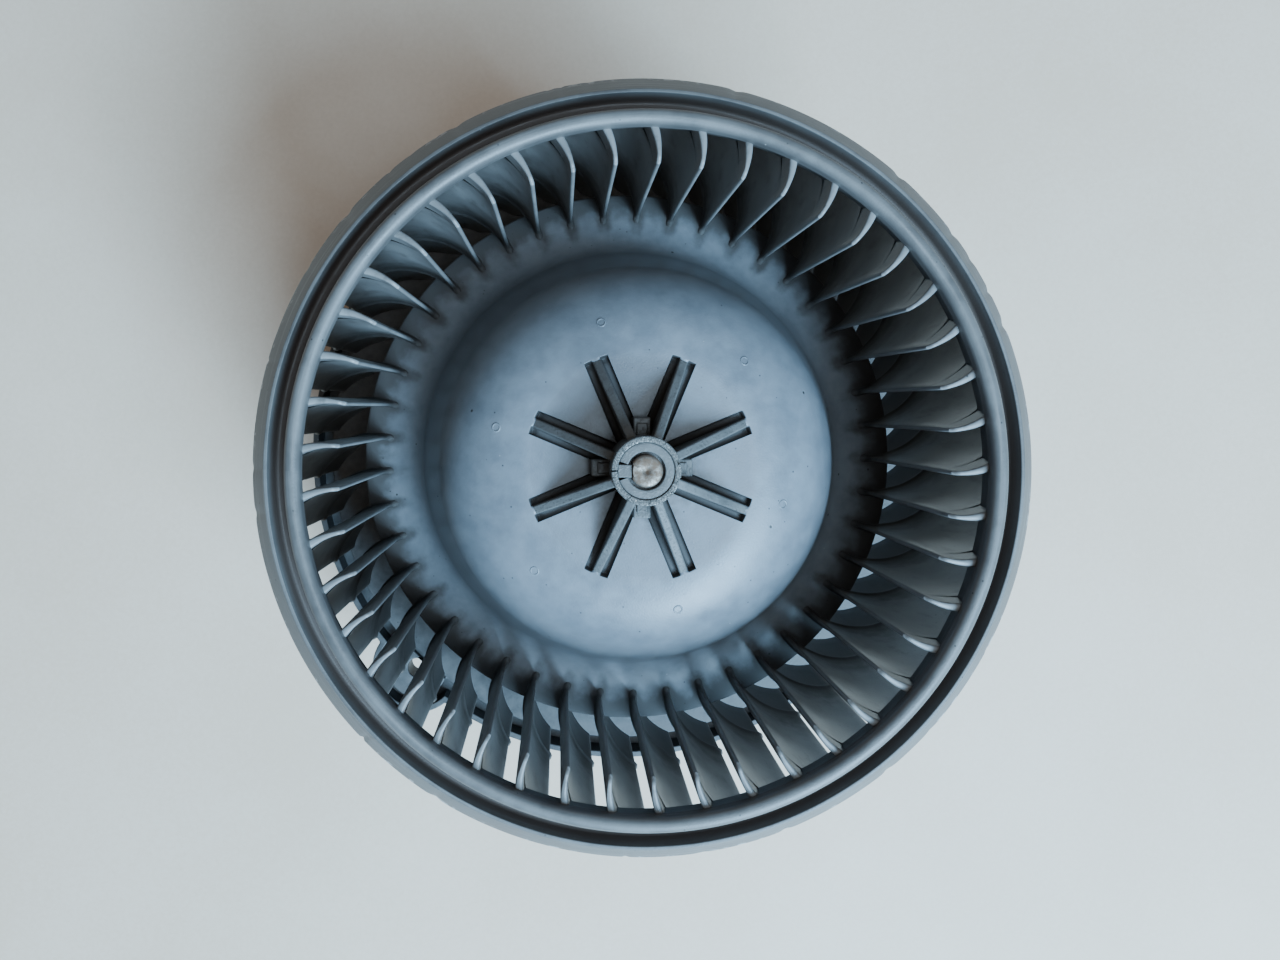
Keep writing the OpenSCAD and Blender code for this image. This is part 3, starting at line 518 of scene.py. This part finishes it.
def tarnished_shaft():
    """The shaft: ground steel with a brown bloom of rust, stronger on its end."""
    f = Finish("tarnished_shaft", Metallic=1.0)
    end = f.rise(f.z, shaft_top - 3.0, shaft_top - 0.4)
    bloom = f.rise(f.grain(1.1, 5.0, 0.65), 0.25, 0.6) * (0.35 + end * 0.65)
    grind = f.grain(0.25, 2.0, at=f.spot(f.angle * 2.0, f.radius, f.z * 3.0))
    colour = f.tint(bloom, (0.30, 0.285, 0.26), (0.17, 0.11, 0.075))
    dirt = f.rise(f.grain(0.5, 3.0), 0.58, 0.7) * end
    colour = f.tint(dirt * 0.7, colour, (0.08, 0.055, 0.04))
    return f.use(colour, 0.3 + bloom * 0.35 + grind * 0.1, grind * 0.4 + bloom * 0.5, 0.02,
                 metallic=1 - bloom * 0.6)


def metal(name, bright, dull, rough, size=1.5):
    """Plain metal with patches of wear and fine tool lines round the axis."""
    f = Finish(name, Metallic=1.0)
    worn = f.rise(f.grain(size, 4.0, 0.6), 0.35, 0.7)
    tool = f.grain(0.3, 2.0, at=f.spot(f.radius * 4.0, f.angle, f.z * 4.0))
    colour = f.tint(worn, bright, dull)
    return f.use(colour, rough + worn * 0.15 + tool * 0.08, tool * 0.5 + worn * 0.5, 0.02)


def stacked_core():
    """Armature core: thin steel laminations with varnish between them."""
    f = Finish("stacked_core", Metallic=1.0)
    sheets_per_mm = 2.0
    seam = f.ridge((f.z * sheets_per_mm).fraction(), 0.5, 0.2)
    mottled = f.rise(f.grain(2.0, 4.0), 0.4, 0.65)
    colour = f.tint(mottled * 0.6, (0.27, 0.28, 0.29), (0.12, 0.11, 0.105))
    colour = f.tint(seam * 0.8, colour, (0.03, 0.028, 0.025))
    return f.use(colour, 0.38 + mottled * 0.2, 1 - seam, 0.08, metallic=1 - seam * 0.7)


def wound_copper(name, pitch, along):
    """Varnished copper wire, laid turn beside turn."""
    f = Finish(name, Metallic=0.85, Coat_Roughness=0.15)
    groove = ((along(f) / pitch).fraction() - 0.5).size() * 2.0
    shade = f.grain(1.4, 4.0)
    colour = f.tint(f.rise(shade, 0.35, 0.65), (0.46, 0.19, 0.075), (0.62, 0.30, 0.13))
    # painted shade: dark copper colour in the valleys between the turns
    colour = f.tint(groove ** 4.0 * 0.85, colour, (0.10, 0.035, 0.015))
    f.shader.inputs["Coat Weight"].default_value = 0.6
    return f.use(colour, 0.28 + shade * 0.2, 1 - groove * groove, pitch * 0.4)


def board(name, low, high, rough=0.5, size=0.5, relief=0.03):
    """Pressed or cast insulating material with a short grain."""
    f = Finish(name)
    fleck = f.rise(f.grain(size, 4.0, 0.6), 0.35, 0.65)
    patch = f.grain(size * 9.0, 3.0)
    colour = f.tint(fleck * 0.7 + patch * 0.3, low, high)
    dirt = f.rise(f.grain(size * 5.0, 5.0, 0.7), 0.6, 0.75)
    colour = f.tint(dirt * 0.4, colour, [0.4 * c for c in low])
    return f.use(colour, rough + (patch - 0.5) * 0.2 + dirt * 0.1, fleck, relief)


def carbon():
    """Brush carbon: matt black with bright grains and a polished end."""
    f = Finish("carbon", Metallic=0.3)
    grains = f.rise(f.grain(0.22, 2.0), 0.55, 0.65)
    worn = 1 - f.rise(f.radius, 11.5, 13.0)
    colour = f.tint(grains * 0.6, (0.02, 0.02, 0.021), (0.10, 0.10, 0.105))
    colour = f.tint(worn * 0.5, colour, (0.12, 0.10, 0.085))
    return f.use(colour, 0.6 - worn * 0.3 - grains * 0.1, grains, 0.03)


# ---------------------------------------------------------------------------
# The wheel
# ---------------------------------------------------------------------------

# The part's own sizes for the wheel: _r is a radius, _z a height above the flange's rim
blade_count, blade_phase = 45, -0.5
blade_in, blade_out, blade_curve, blade_lean = 57.2, 73.5, 16.0, 3.0
blade_low, blade_top, heel_r = 8.0, lip_top - 2.0, 68.0
rim_z = lip_top - 10.0
ring_under = rim_z - 3.3
ridge_r, groove_z, shell_z = wheel_r - 4.1, rim_z + 1.5, rim_z - 0.1
lip_in, lip_out = wheel_r - 11.4, wheel_r - 8.4
disc_r, disc_z = 21.7, rim_z - 4.6
dome_wall, edge_r, edge_z = 2.2, 62.0, 29.4
shoulder_deg, fillet_r, skirt_in = 74.0, 9.0, 55.7
gusset_count, gusset_phase, gusset_half = 8, 22.5, 0.9
groove_in, groove_out, groove_end = 0.9, 2.5, 23.0      # the relief grooves beside a gusset's middle
hub_r, neck_r, clamp_z = 6.45, 5.25, lip_top - 3.5
barrel_low, shaft_r = disc_z - 13, 3.0


def wheel_ring():
    """Inlet ring with its sloped band, groove and rounded lip, and small nicks along the outer edge."""
    outline = rounded([
        (lip_in, lip_top - 3.0), (lip_in + 0.8, lip_top - 4.2), (lip_out - 1.2, shell_z),
        (ridge_r + 0.6, shell_z), (wheel_r - 2.0, ring_under), (wheel_r, ring_under), (wheel_r, rim_z),
        (ridge_r + 0.6, rim_z + 4.7), (ridge_r, rim_z + 4.7), (ridge_r - 0.9, groove_z),
        (lip_out, groove_z), (lip_out, lip_top), (lip_in, lip_top),
    ], [0.5, 0.4, 0.8, 0.6, 0.4, 0.5, 0.7, 0.25, 0.25, 0.8, 0.8, 1.45, 1.45], 6)
    lines = full_turn(720)
    points, faces = spun(outline, lines)
    grid = points.reshape(len(lines), len(outline), 3)
    radius = np.hypot(grid[..., 0], grid[..., 1])
    edge = ease(radius, wheel_r - 1.2, wheel_r - 0.2) * ease(grid[..., 2], rim_z - 1.2, rim_z - 0.2)
    nick_count = 26
    for _ in range(nick_count):
        at, half, depth = chance.uniform(0, 360), chance.uniform(0.25, 0.9), chance.uniform(0.08, 0.34)
        away = (lines - at + 180) % 360 - 180
        bite = np.exp(-(away / half) ** 2)[:, None] * edge * depth
        grid[..., 0] -= bite * grid[..., 0] / radius
        grid[..., 1] -= bite * grid[..., 1] / radius
        grid[..., 2] -= bite * 0.6
    return grid.reshape(-1, 3), faces


def blade():
    """One forward-curved blade: thin at its inner edge, with its foot and its head flared into the wheel."""
    lean = math.radians(blade_lean)
    centre = np.array([blade_in + blade_curve * math.sin(lean), blade_curve * math.cos(lean)])
    away, bearing = np.linalg.norm(centre), math.atan2(centre[1], centre[0])

    def arc_angle(radius):
        reach = (radius ** 2 - away ** 2 - blade_curve ** 2) / (2 * blade_curve * away)
        return bearing - math.acos(max(-1, min(1, reach)))

    def section(inner, outer, swell, shrink):
        """Plan of the blade at one height: along its back, round the tip, and home along its hollow side."""
        first, last = arc_angle(inner), arc_angle(outer)
        share = np.linspace(0, 1, 14)
        angles = first + (last - first) * share
        radius = np.hypot(centre[0] + blade_curve * np.cos(angles), centre[1] + blade_curve * np.sin(angles))
        half = 0.42 + 0.36 * ease(radius, blade_in, lip_in + 1) - 0.22 * ease(radius, 68, blade_out)
        half = (half + swell) * shrink
        tips = []
        for end, direction in ((-1, 1), (0, -1)):
            base, size = angles[end], half[end]
            for k in (1, 2, 3):
                a = math.pi * k / 4
                swing = direction * size * math.sin(a) / blade_curve
                tips.append((blade_curve + size * math.cos(a), base + swing))
        outside = [(blade_curve + h, a) for h, a in zip(half, angles)]
        inside = [(blade_curve - h, a) for h, a in zip(half[::-1], angles[::-1])]
        loop = outside + tips[:3] + inside + [(2 * blade_curve - r, a) for r, a in tips[3:]]
        return [(centre[0] + r * math.cos(a), centre[1] + r * math.sin(a)) for r, a in loop]

    skirt_low = edge_z - dome_wall / 2
    levels = []                                 # height, inner radius, outer radius, swell, shrink
    for z, shrink in ((blade_low, 0.55), (blade_low + 0.12, 0.85), (blade_low + 0.35, 1.0)):
        levels.append((z, heel_r + (1 - shrink), blade_out, 0.0, shrink))
    for share in (0.3, 0.6, 0.9, 1.0):
        z = blade_low + (skirt_low - blade_low) * share
        levels.append((z, heel_r + (edge_r - 0.5 - heel_r) * share, blade_out, 0.0, 1.0))
    for lift, swell in ((-0.4, 1.0), (0.1, 0.95), (0.4, 0.55), (0.9, 0.22), (1.8, 0.0)):
        levels.append((edge_z + lift, blade_in - swell * 1.1, blade_out, swell * 0.5, 1.0))
    for z in (40.0, 50.0, 60.0, ring_under - 1.2):
        levels.append((z, blade_in, blade_out, 0.0, 1.0))
    inside_ring = (
        (ring_under + 0.4, wheel_r - 1.6), (shell_z + 0.4, ridge_r + 0.8), (shell_z + 0.45, lip_out - 0.8),
        (lip_top - 4.0, lip_in + 1.2), (lip_top - 3.0, lip_in + 0.6),
    )
    for z, outer in inside_ring:
        levels.append((z, blade_in, min(outer, blade_out), 0.0, 1.0))
    head = ((0.9, 0.2, 1.0), (0.6, 0.45, 0.99), (0.3, 0.75, 0.9), (0.1, 1.05, 0.72), (0.0, 1.3, 0.45))
    for drop, back, shrink in head:
        levels.append((blade_top - drop, blade_in + back, lip_in + 0.6, 0.0, shrink))
    rows = []
    for z, *rest in levels:
        plan = np.array(section(*rest))
        outward = np.clip(np.hypot(plan[:, 0], plan[:, 1]) - blade_in, 0, None)
        fall = 0.1 * outward * ease(z, blade_top - 1.5, blade_top)
        rows.append(np.column_stack([plan, z - fall]))
    faces = net(len(rows), len(plan), close_cols=True) + end_faces(len(rows), len(plan))
    return np.concatenate(rows), faces


def dome_profile():
    """The dome's outside as (radius, height) from the disc's edge, and the same points set in by its wall."""
    s, c = math.sin(math.radians(shoulder_deg)), math.cos(math.radians(shoulder_deg))
    run_r = skirt_in - disc_r - fillet_r * s
    run_z = disc_z - edge_z - fillet_r * (1 - c)
    shoulder_r = (run_r * s - run_z * c) / (s * s - c * (1 - c))

    def curve(inset):
        points = []
        for a in np.radians(np.linspace(2.5, shoulder_deg, 22)):
            points.append((disc_r + (shoulder_r - inset) * math.sin(a),
                           disc_z - shoulder_r + (shoulder_r - inset) * math.cos(a)))
        for a in np.radians(np.linspace(shoulder_deg, 0, 12)):
            points.append((skirt_in - (fillet_r + inset) * math.sin(a),
                           edge_z + fillet_r - (fillet_r + inset) * math.cos(a)))
        return points

    return shoulder_r, curve(0), curve(dome_wall)


def dome_shell():
    """Disc, shoulder, wall and skirt, with the relief grooves beside the gussets sunk into the disc."""
    shoulder_r, outside, inside = dome_profile()
    # Rows of points from the hub outwards, closer together where the grooves end
    disc = [5.6, 7, 9, 11, 13, 15, 17, 19, 20.0, 20.6, 21.0, 21.4, 21.7, 21.9, 22.1, 22.3, 22.4, 22.5,
            22.6, 22.7, 22.8, 22.9, 23.0, 23.15]
    top = []
    for r in disc:
        over = max(0.0, r - disc_r)
        top.append((r, disc_z - shoulder_r + math.sqrt(shoulder_r ** 2 - over ** 2), 1.0))
    top += [(r, z, 0.0) for r, z in outside if r > 23.3]
    mid = edge_z - dome_wall / 2
    top += [(57.5, edge_z, 0.0), (60.0, edge_z, 0.0)]
    top += [(edge_r - 0.5 + 0.5 * math.sin(a), edge_z - 0.5 + 0.5 * math.cos(a), 0.0)
            for a in np.radians((0, 22, 45, 68, 90))]
    top += [(edge_r, mid, 0.0)]
    top += [(edge_r - 0.5 + 0.5 * math.cos(a), edge_z - dome_wall + 0.5 - 0.5 * math.sin(a), 0.0)
            for a in np.radians((0, 45, 90))]
    top += [(r, z, 0.0) for r, z in reversed(inside)]
    top += [(r, disc_z - dome_wall, 0.0) for r in (20.0, 12.0, 5.6)]
    # Columns of points across one groove, then evenly on to halfway to the next gusset
    across = np.array([0.0, 0.5, 0.9, 0.93, 1.0, 1.12, 1.35, 1.7, 2.05, 2.28, 2.4, 2.47, 2.5, 2.58])
    fan = np.linspace(0, 1, 11)[1:]
    beyond = 9.0                                # any distance past the groove
    groove_mid, groove_half = (groove_in + groove_out) / 2, (groove_out - groove_in) / 2
    limit = math.pi / gusset_count
    rows = []
    for r, z, cut in top:
        leaning = np.arcsin(np.minimum(across / r, 0.99))
        leaning = np.minimum(leaning, limit * (0.9 + 0.005 * np.arange(len(across))))
        half = np.concatenate([leaning, leaning[-1] + (limit - leaning[-1]) * fan])
        y = np.concatenate([across, np.full(len(fan), beyond)])
        place = np.abs((y - groove_mid) / groove_half)
        hollow = np.where(place < 1, 1.15 * (1 - place ** 6), 0.0)
        pit = np.clip((r - 20.8) / 1.5, 0, 1)
        hollow += np.where(place < pit, 0.45 * pit, 0.0)
        depth = hollow * cut * (1 - ease(r, groove_end - 0.6, groove_end))
        angles = np.concatenate([-half[::-1], half[1:-1]])
        depths = np.concatenate([depth[::-1], depth[1:-1]])
        for k in range(gusset_count):
            a = angles + math.radians(gusset_phase + k * 360 / gusset_count)
            rows.append(np.column_stack([r * np.cos(a), r * np.sin(a), z - depths]))
    lines = gusset_count * len(angles)
    points = np.concatenate(rows)
    return points, net(len(top), lines, close_rows=True, close_cols=True)


def gussets():
    """Thin webs that carry the disc on the hub, rounded on top."""
    side = rounded([
        (neck_r, disc_z - 1.1), (disc_r + 0.9, disc_z - 1.1), (disc_r + 0.85, disc_z),
        (disc_r - 0.2, disc_z + 0.7), (hub_r + 0.2, clamp_z - 0.3), (neck_r, clamp_z - 0.3),
    ], [0, 0, 0.3, 0.5, 0.6, 0], 4)
    return around(on_edge(plate(side, -gusset_half, gusset_half, 0.38, 4)), gusset_count, gusset_phase)


def hub():
    """Hub barrel, the split neck inside the clamp ring, its tongue, and four short lugs."""
    barrel = rounded([
        (shaft_r, barrel_low), (hub_r, barrel_low), (hub_r, clamp_z), (shaft_r, clamp_z),
    ], [0.3, 0.6, 0.15, 0])
    neck = rounded([
        (shaft_r, clamp_z - 0.5), (neck_r, clamp_z - 0.5), (neck_r, lip_top - 0.3),
        (shaft_r + 0.5, lip_top - 0.3), (shaft_r + 0.5, lip_top - 2), (shaft_r, lip_top - 2),
    ], [0, 0, 0.25, 0.25, 0, 0])
    tongue = rounded([(-neck_r, -1.2), (-2.55, -1.2), (-2.55, 1.2), (-neck_r, 1.2)], 0.2)
    lug = rounded([(hub_r - 1, -1.7), (hub_r + 3.3, -1.7), (hub_r + 3.3, 1.7), (hub_r - 1, 1.7)], 0.35)
    cap = rounded([(hub_r - 1, -1.1), (hub_r + 2.2, -1.1), (hub_r + 2.2, 1.1), (hub_r - 1, 1.1)], 0.3)
    shapes = [spun(barrel, full_turn(96)), spun(neck, np.linspace(-160, 160, 80), whole=False)]
    shapes += [plate(tongue, clamp_z - 0.5, lip_top - 0.25, 0.2)]
    shapes += around(plate(lug, disc_z - 1, disc_z + 4.6, 0.35), 4)
    shapes += around(plate(cap, disc_z + 3, disc_z + 5.0, 0.3), 4)
    return shapes


def ejector_marks():
    """Six small round marks that the mould's pins leave on the dome's shoulder."""
    shoulder_r = dome_profile()[0]
    crater = rounded([
        (0.001, -0.5), (1.0, -0.5), (0.98, 0.02), (0.84, 0.1), (0.66, 0.06), (0.58, -0.1), (0.001, -0.1),
    ], [0, 0, 0.1, 0.1, 0.05, 0.05, 0], 3)
    at_r = 29.5
    lean = math.asin((at_r - disc_r) / shoulder_r)
    points, faces = spun(crater, full_turn(32))
    tip = np.array(Matrix.Rotation(lean, 3, "Y"))
    points = points @ tip.T + np.array([at_r, 0, disc_z - shoulder_r * (1 - math.cos(lean))])
    return around((points, faces), 6, 45)


def clamp_ring():
    """Ring pressed over the split neck: one gap at the tongue, two small notches opposite."""
    outline = rounded([(neck_r, clamp_z), (hub_r, clamp_z), (hub_r, lip_top), (neck_r + 0.62, lip_top),
                       (neck_r + 0.58, lip_top), (neck_r, lip_top)], [0.12, 0.12, 0.25, 0, 0, 0.2], 3)
    notch_start, notch_mid, notch_end = 11.3, 15.7, 20.2
    sides = (notch_start, notch_start + 0.15, notch_mid, notch_end, notch_end + 0.15)
    notch = [sign * side for sign in (1, -1) for side in sides]
    lines = np.array(sorted(set(np.linspace(-178.4, 178.4, 150).round(3)) | set(notch)))
    points, faces = spun(outline, lines, whole=False)
    bearing = np.abs(np.degrees(np.arctan2(points[:, 1], points[:, 0])))
    outer = np.hypot(points[:, 0], points[:, 1]) > neck_r + 0.6
    inside = (bearing > notch_start + 0.1) & (bearing < notch_end + 0.1) & outer
    points[inside, 2] = np.minimum(points[inside, 2], lip_top - 1.75)
    return points, faces


def shaft():
    """Ground shaft with a flat near its end, chamfers and a centre mark in the end face."""
    flat_long, flat_deep = 14.0, 0.5
    outline = [
        (0.001, shaft_low), (shaft_r - 0.5, shaft_low), (shaft_r, shaft_low + 0.5),
        (shaft_r, shaft_top - flat_long - 0.02), (shaft_r, shaft_top - flat_long),
        (shaft_r, shaft_top - 3.2), (shaft_r, shaft_top - 0.5), (shaft_r - 0.12, shaft_top - 0.22),
        (shaft_r - 0.5, shaft_top), (0.9, shaft_top), (0.75, shaft_top - 0.08), (0.001, shaft_top - 0.55),
    ]
    points, faces = spun(outline, full_turn(96))
    flat = points[:, 2] > shaft_top - flat_long - 0.01
    points[flat, 0] = np.maximum(points[flat, 0], -shaft_r + flat_deep)
    return points, faces


# ---------------------------------------------------------------------------
# Making the pieces
# ---------------------------------------------------------------------------

dome_finish = dome_plastic()
gusset_finish = gusset_plastic()
piece("wheel_ring", [wheel_ring()], ring_plastic(), "rotor", ["fan_wheel"])
piece("wheel_blades", around(blade(), blade_count, blade_phase), blade_plastic(), "rotor", sharp=50)
piece("wheel_dome", [dome_shell()], dome_finish, "rotor", sharp=60)
piece("wheel_gussets", gussets(), gusset_finish, "rotor", flat_faces=True)
piece("wheel_hub", hub(), gusset_finish, "rotor", flat_faces=True)
piece("ejector_marks", ejector_marks(), dome_finish, "rotor")
piece("clamp_ring", [clamp_ring()], clamp_steel(), "rotor", ["hub_clamp"])
piece("shaft", [shaft()], tarnished_shaft(), "rotor", ["motor_shaft"])

flange_black = flange_plastic("flange_black", 0.55)
cover_black = flange_plastic("cover_black", 0.3)
can_steel = sheet_steel("can_steel", (0.55, 0.56, 0.56), (0.36, 0.37, 0.38))
bronze = metal("sintered_bronze", (0.42, 0.29, 0.13), (0.26, 0.17, 0.08), 0.5, 0.6)
spring_steel = metal("spring_steel", (0.45, 0.46, 0.48), (0.30, 0.30, 0.31), 0.28)
brass = metal("brass", (0.62, 0.46, 0.18), (0.42, 0.30, 0.13), 0.3, 2.0)
ferrite = board("ferrite", (0.045, 0.045, 0.048), (0.09, 0.09, 0.095), 0.48, 0.4)
rubber = board("rubber", (0.012, 0.012, 0.012), (0.03, 0.03, 0.03), 0.72, 0.8, 0.05)
for node, name, finish, edge in (
    ("motor_flange", "flange_body", flange_black, 0.35),
    ("motor_cover", "cover_body", cover_black, 0.35),
    ("motor_can", "can_shell", can_steel, 0.5),
    ("end_shield", "can_end", sheet_steel("end_steel", (0.5, 0.51, 0.52), (0.33, 0.34, 0.35)), 0.3),
    ("cover_screws", "cover_screw_set", metal("screw_zinc", (0.6, 0.6, 0.58), (0.36, 0.35, 0.32), 0.3), 0.22),
    ("rubber_pads", "pad_set", rubber, 0.4),
    ("field_magnets", "magnet_pair", ferrite, 0.5),
    ("suppressor_capacitor", "capacitor",
     board("capacitor_epoxy", (0.03, 0.07, 0.2), (0.05, 0.11, 0.28), 0.25), 0.9),
    ("terminals", "tab_pair", metal("tinned_brass", (0.62, 0.60, 0.54), (0.42, 0.39, 0.33), 0.3), 0.18),
    ("brush_boxes", "brush_box_pair", brass, 0.12),
    ("brush_card", "card", board("card_laminate", (0.13, 0.075, 0.035), (0.22, 0.13, 0.06), 0.45), 0.2),
    ("upper_bushing", "upper_bearing", bronze, 0.25),
    ("lower_bushing", "lower_bearing", bronze, 0.25),
    ("thrust_button", "thrust_pad", board("nylon", (0.6, 0.58, 0.5), (0.72, 0.7, 0.62), 0.4), 0.25),
):
    eased(node, name, finish, edge)

# CAD nodes whose shape is right keep it and take a finish
slot_wire = wound_copper("slot_wire", 0.55, lambda f: f.radius + f.z * 0.3)
choke_wire = wound_copper("choke_wire", 0.7, lambda f: f.y)
for names, finish in (
    (["armature_core"], stacked_core()),
    (["armature_windings"], slot_wire),
    (["choke_coils"], choke_wire),
    (["end_insulators"], board("slot_paper", (0.05, 0.16, 0.09), (0.09, 0.24, 0.14), 0.5)),
    (["commutator_hub"], board("commutator_resin", (0.10, 0.03, 0.02), (0.16, 0.06, 0.04), 0.4)),
    (["commutator_bars"], metal("commutator_copper", (0.72, 0.40, 0.24), (0.38, 0.19, 0.11), 0.25, 0.8)),
    (["thrust_washers"], board("washer_plastic", (0.5, 0.46, 0.36), (0.62, 0.58, 0.48), 0.42)),
    (["magnet_springs", "upper_bush_clip", "lower_bush_clip", "brush_spring_front", "brush_spring_back"],
     spring_steel),
    (["brush_front", "brush_back"], carbon()),
    (["choke_cores"], board("choke_ferrite", (0.03, 0.03, 0.032), (0.07, 0.07, 0.075), 0.5)),
    (["lead_wires"], board("wire_sleeve", (0.38, 0.02, 0.015), (0.5, 0.045, 0.03), 0.38)),
):
    for name in names:
        nodes[name].data.materials.clear()
        nodes[name].data.materials.append(finish.material)


# ---------------------------------------------------------------------------
# Floor, light and camera
# ---------------------------------------------------------------------------

def floor_finish():
    """Plain pale surface with the faintest mottling."""
    f = Finish("pale_floor")
    cloud = f.grain(60.0, 4.0)
    fine = f.grain(1.2, 3.0)
    colour = f.tint(f.rise(cloud * 0.6 + fine * 0.4, 0.3, 0.7), (0.66, 0.50, 0.38), (0.72, 0.56, 0.44))
    return f.use(colour, 0.6 + (fine - 0.5) * 0.1, fine, 0.02)


def lay_floor():
    """A wide floor that the motor's cover stands on."""
    half, height = 3000.0, cover_low
    mesh = bpy.data.meshes.new("floor")
    corners = [(-half, -half), (half, -half), (half, half), (-half, half)]
    mesh.from_pydata([(x * MM, y * MM, height * MM) for x, y in corners], [], [(0, 1, 2, 3)])
    mesh.materials.append(floor_finish().material)
    floor = bpy.data.objects.new("floor", mesh)
    bpy.context.scene.collection.objects.link(floor)


def softbox(name, place, size, watts, colour):
    """A square lamp, in metres, that faces the middle of the part."""
    light = bpy.data.lights.new(name, "AREA")
    light.energy, light.size, light.color = watts, size, colour
    lamp = bpy.data.objects.new(name, light)
    lamp.location = place
    lamp.rotation_euler = (-Vector(place)).to_track_quat("-Z", "Y").to_euler()
    bpy.context.scene.collection.objects.link(lamp)


def set_camera():
    """Camera close above the inlet, square to it, a little left of the axis and behind it."""
    lens = bpy.data.cameras.new("camera")
    lens.sensor_width = 36
    lens.lens = 28.1
    lens.clip_start = 0.01
    lens.shift_x, lens.shift_y = 0.0625, -0.057
    camera = bpy.data.objects.new("camera", lens)
    camera.location = Vector((-15.8, 11.7, 266.3)) * MM
    bpy.context.scene.collection.objects.link(camera)
    bpy.context.scene.camera = camera


lay_floor()
softbox("window", (0.42, -0.85, 0.72), 0.55, 40, (0.42, 0.71, 1.0))
softbox("high_window", (0.5, -0.48, 0.95), 0.4, 22, (0.38, 0.69, 1.0))
softbox("ceiling", (0.28, -0.12, 1.3), 0.4, 6, (0.66, 0.84, 1.0))
sky = bpy.data.worlds.new("sky")
sky.use_nodes = True
sky.node_tree.nodes["Background"].inputs["Color"].default_value = (1.0, 0.95, 0.88, 1.0)
sky.node_tree.nodes["Background"].inputs["Strength"].default_value = 0.2
bpy.context.scene.world = sky
set_camera()
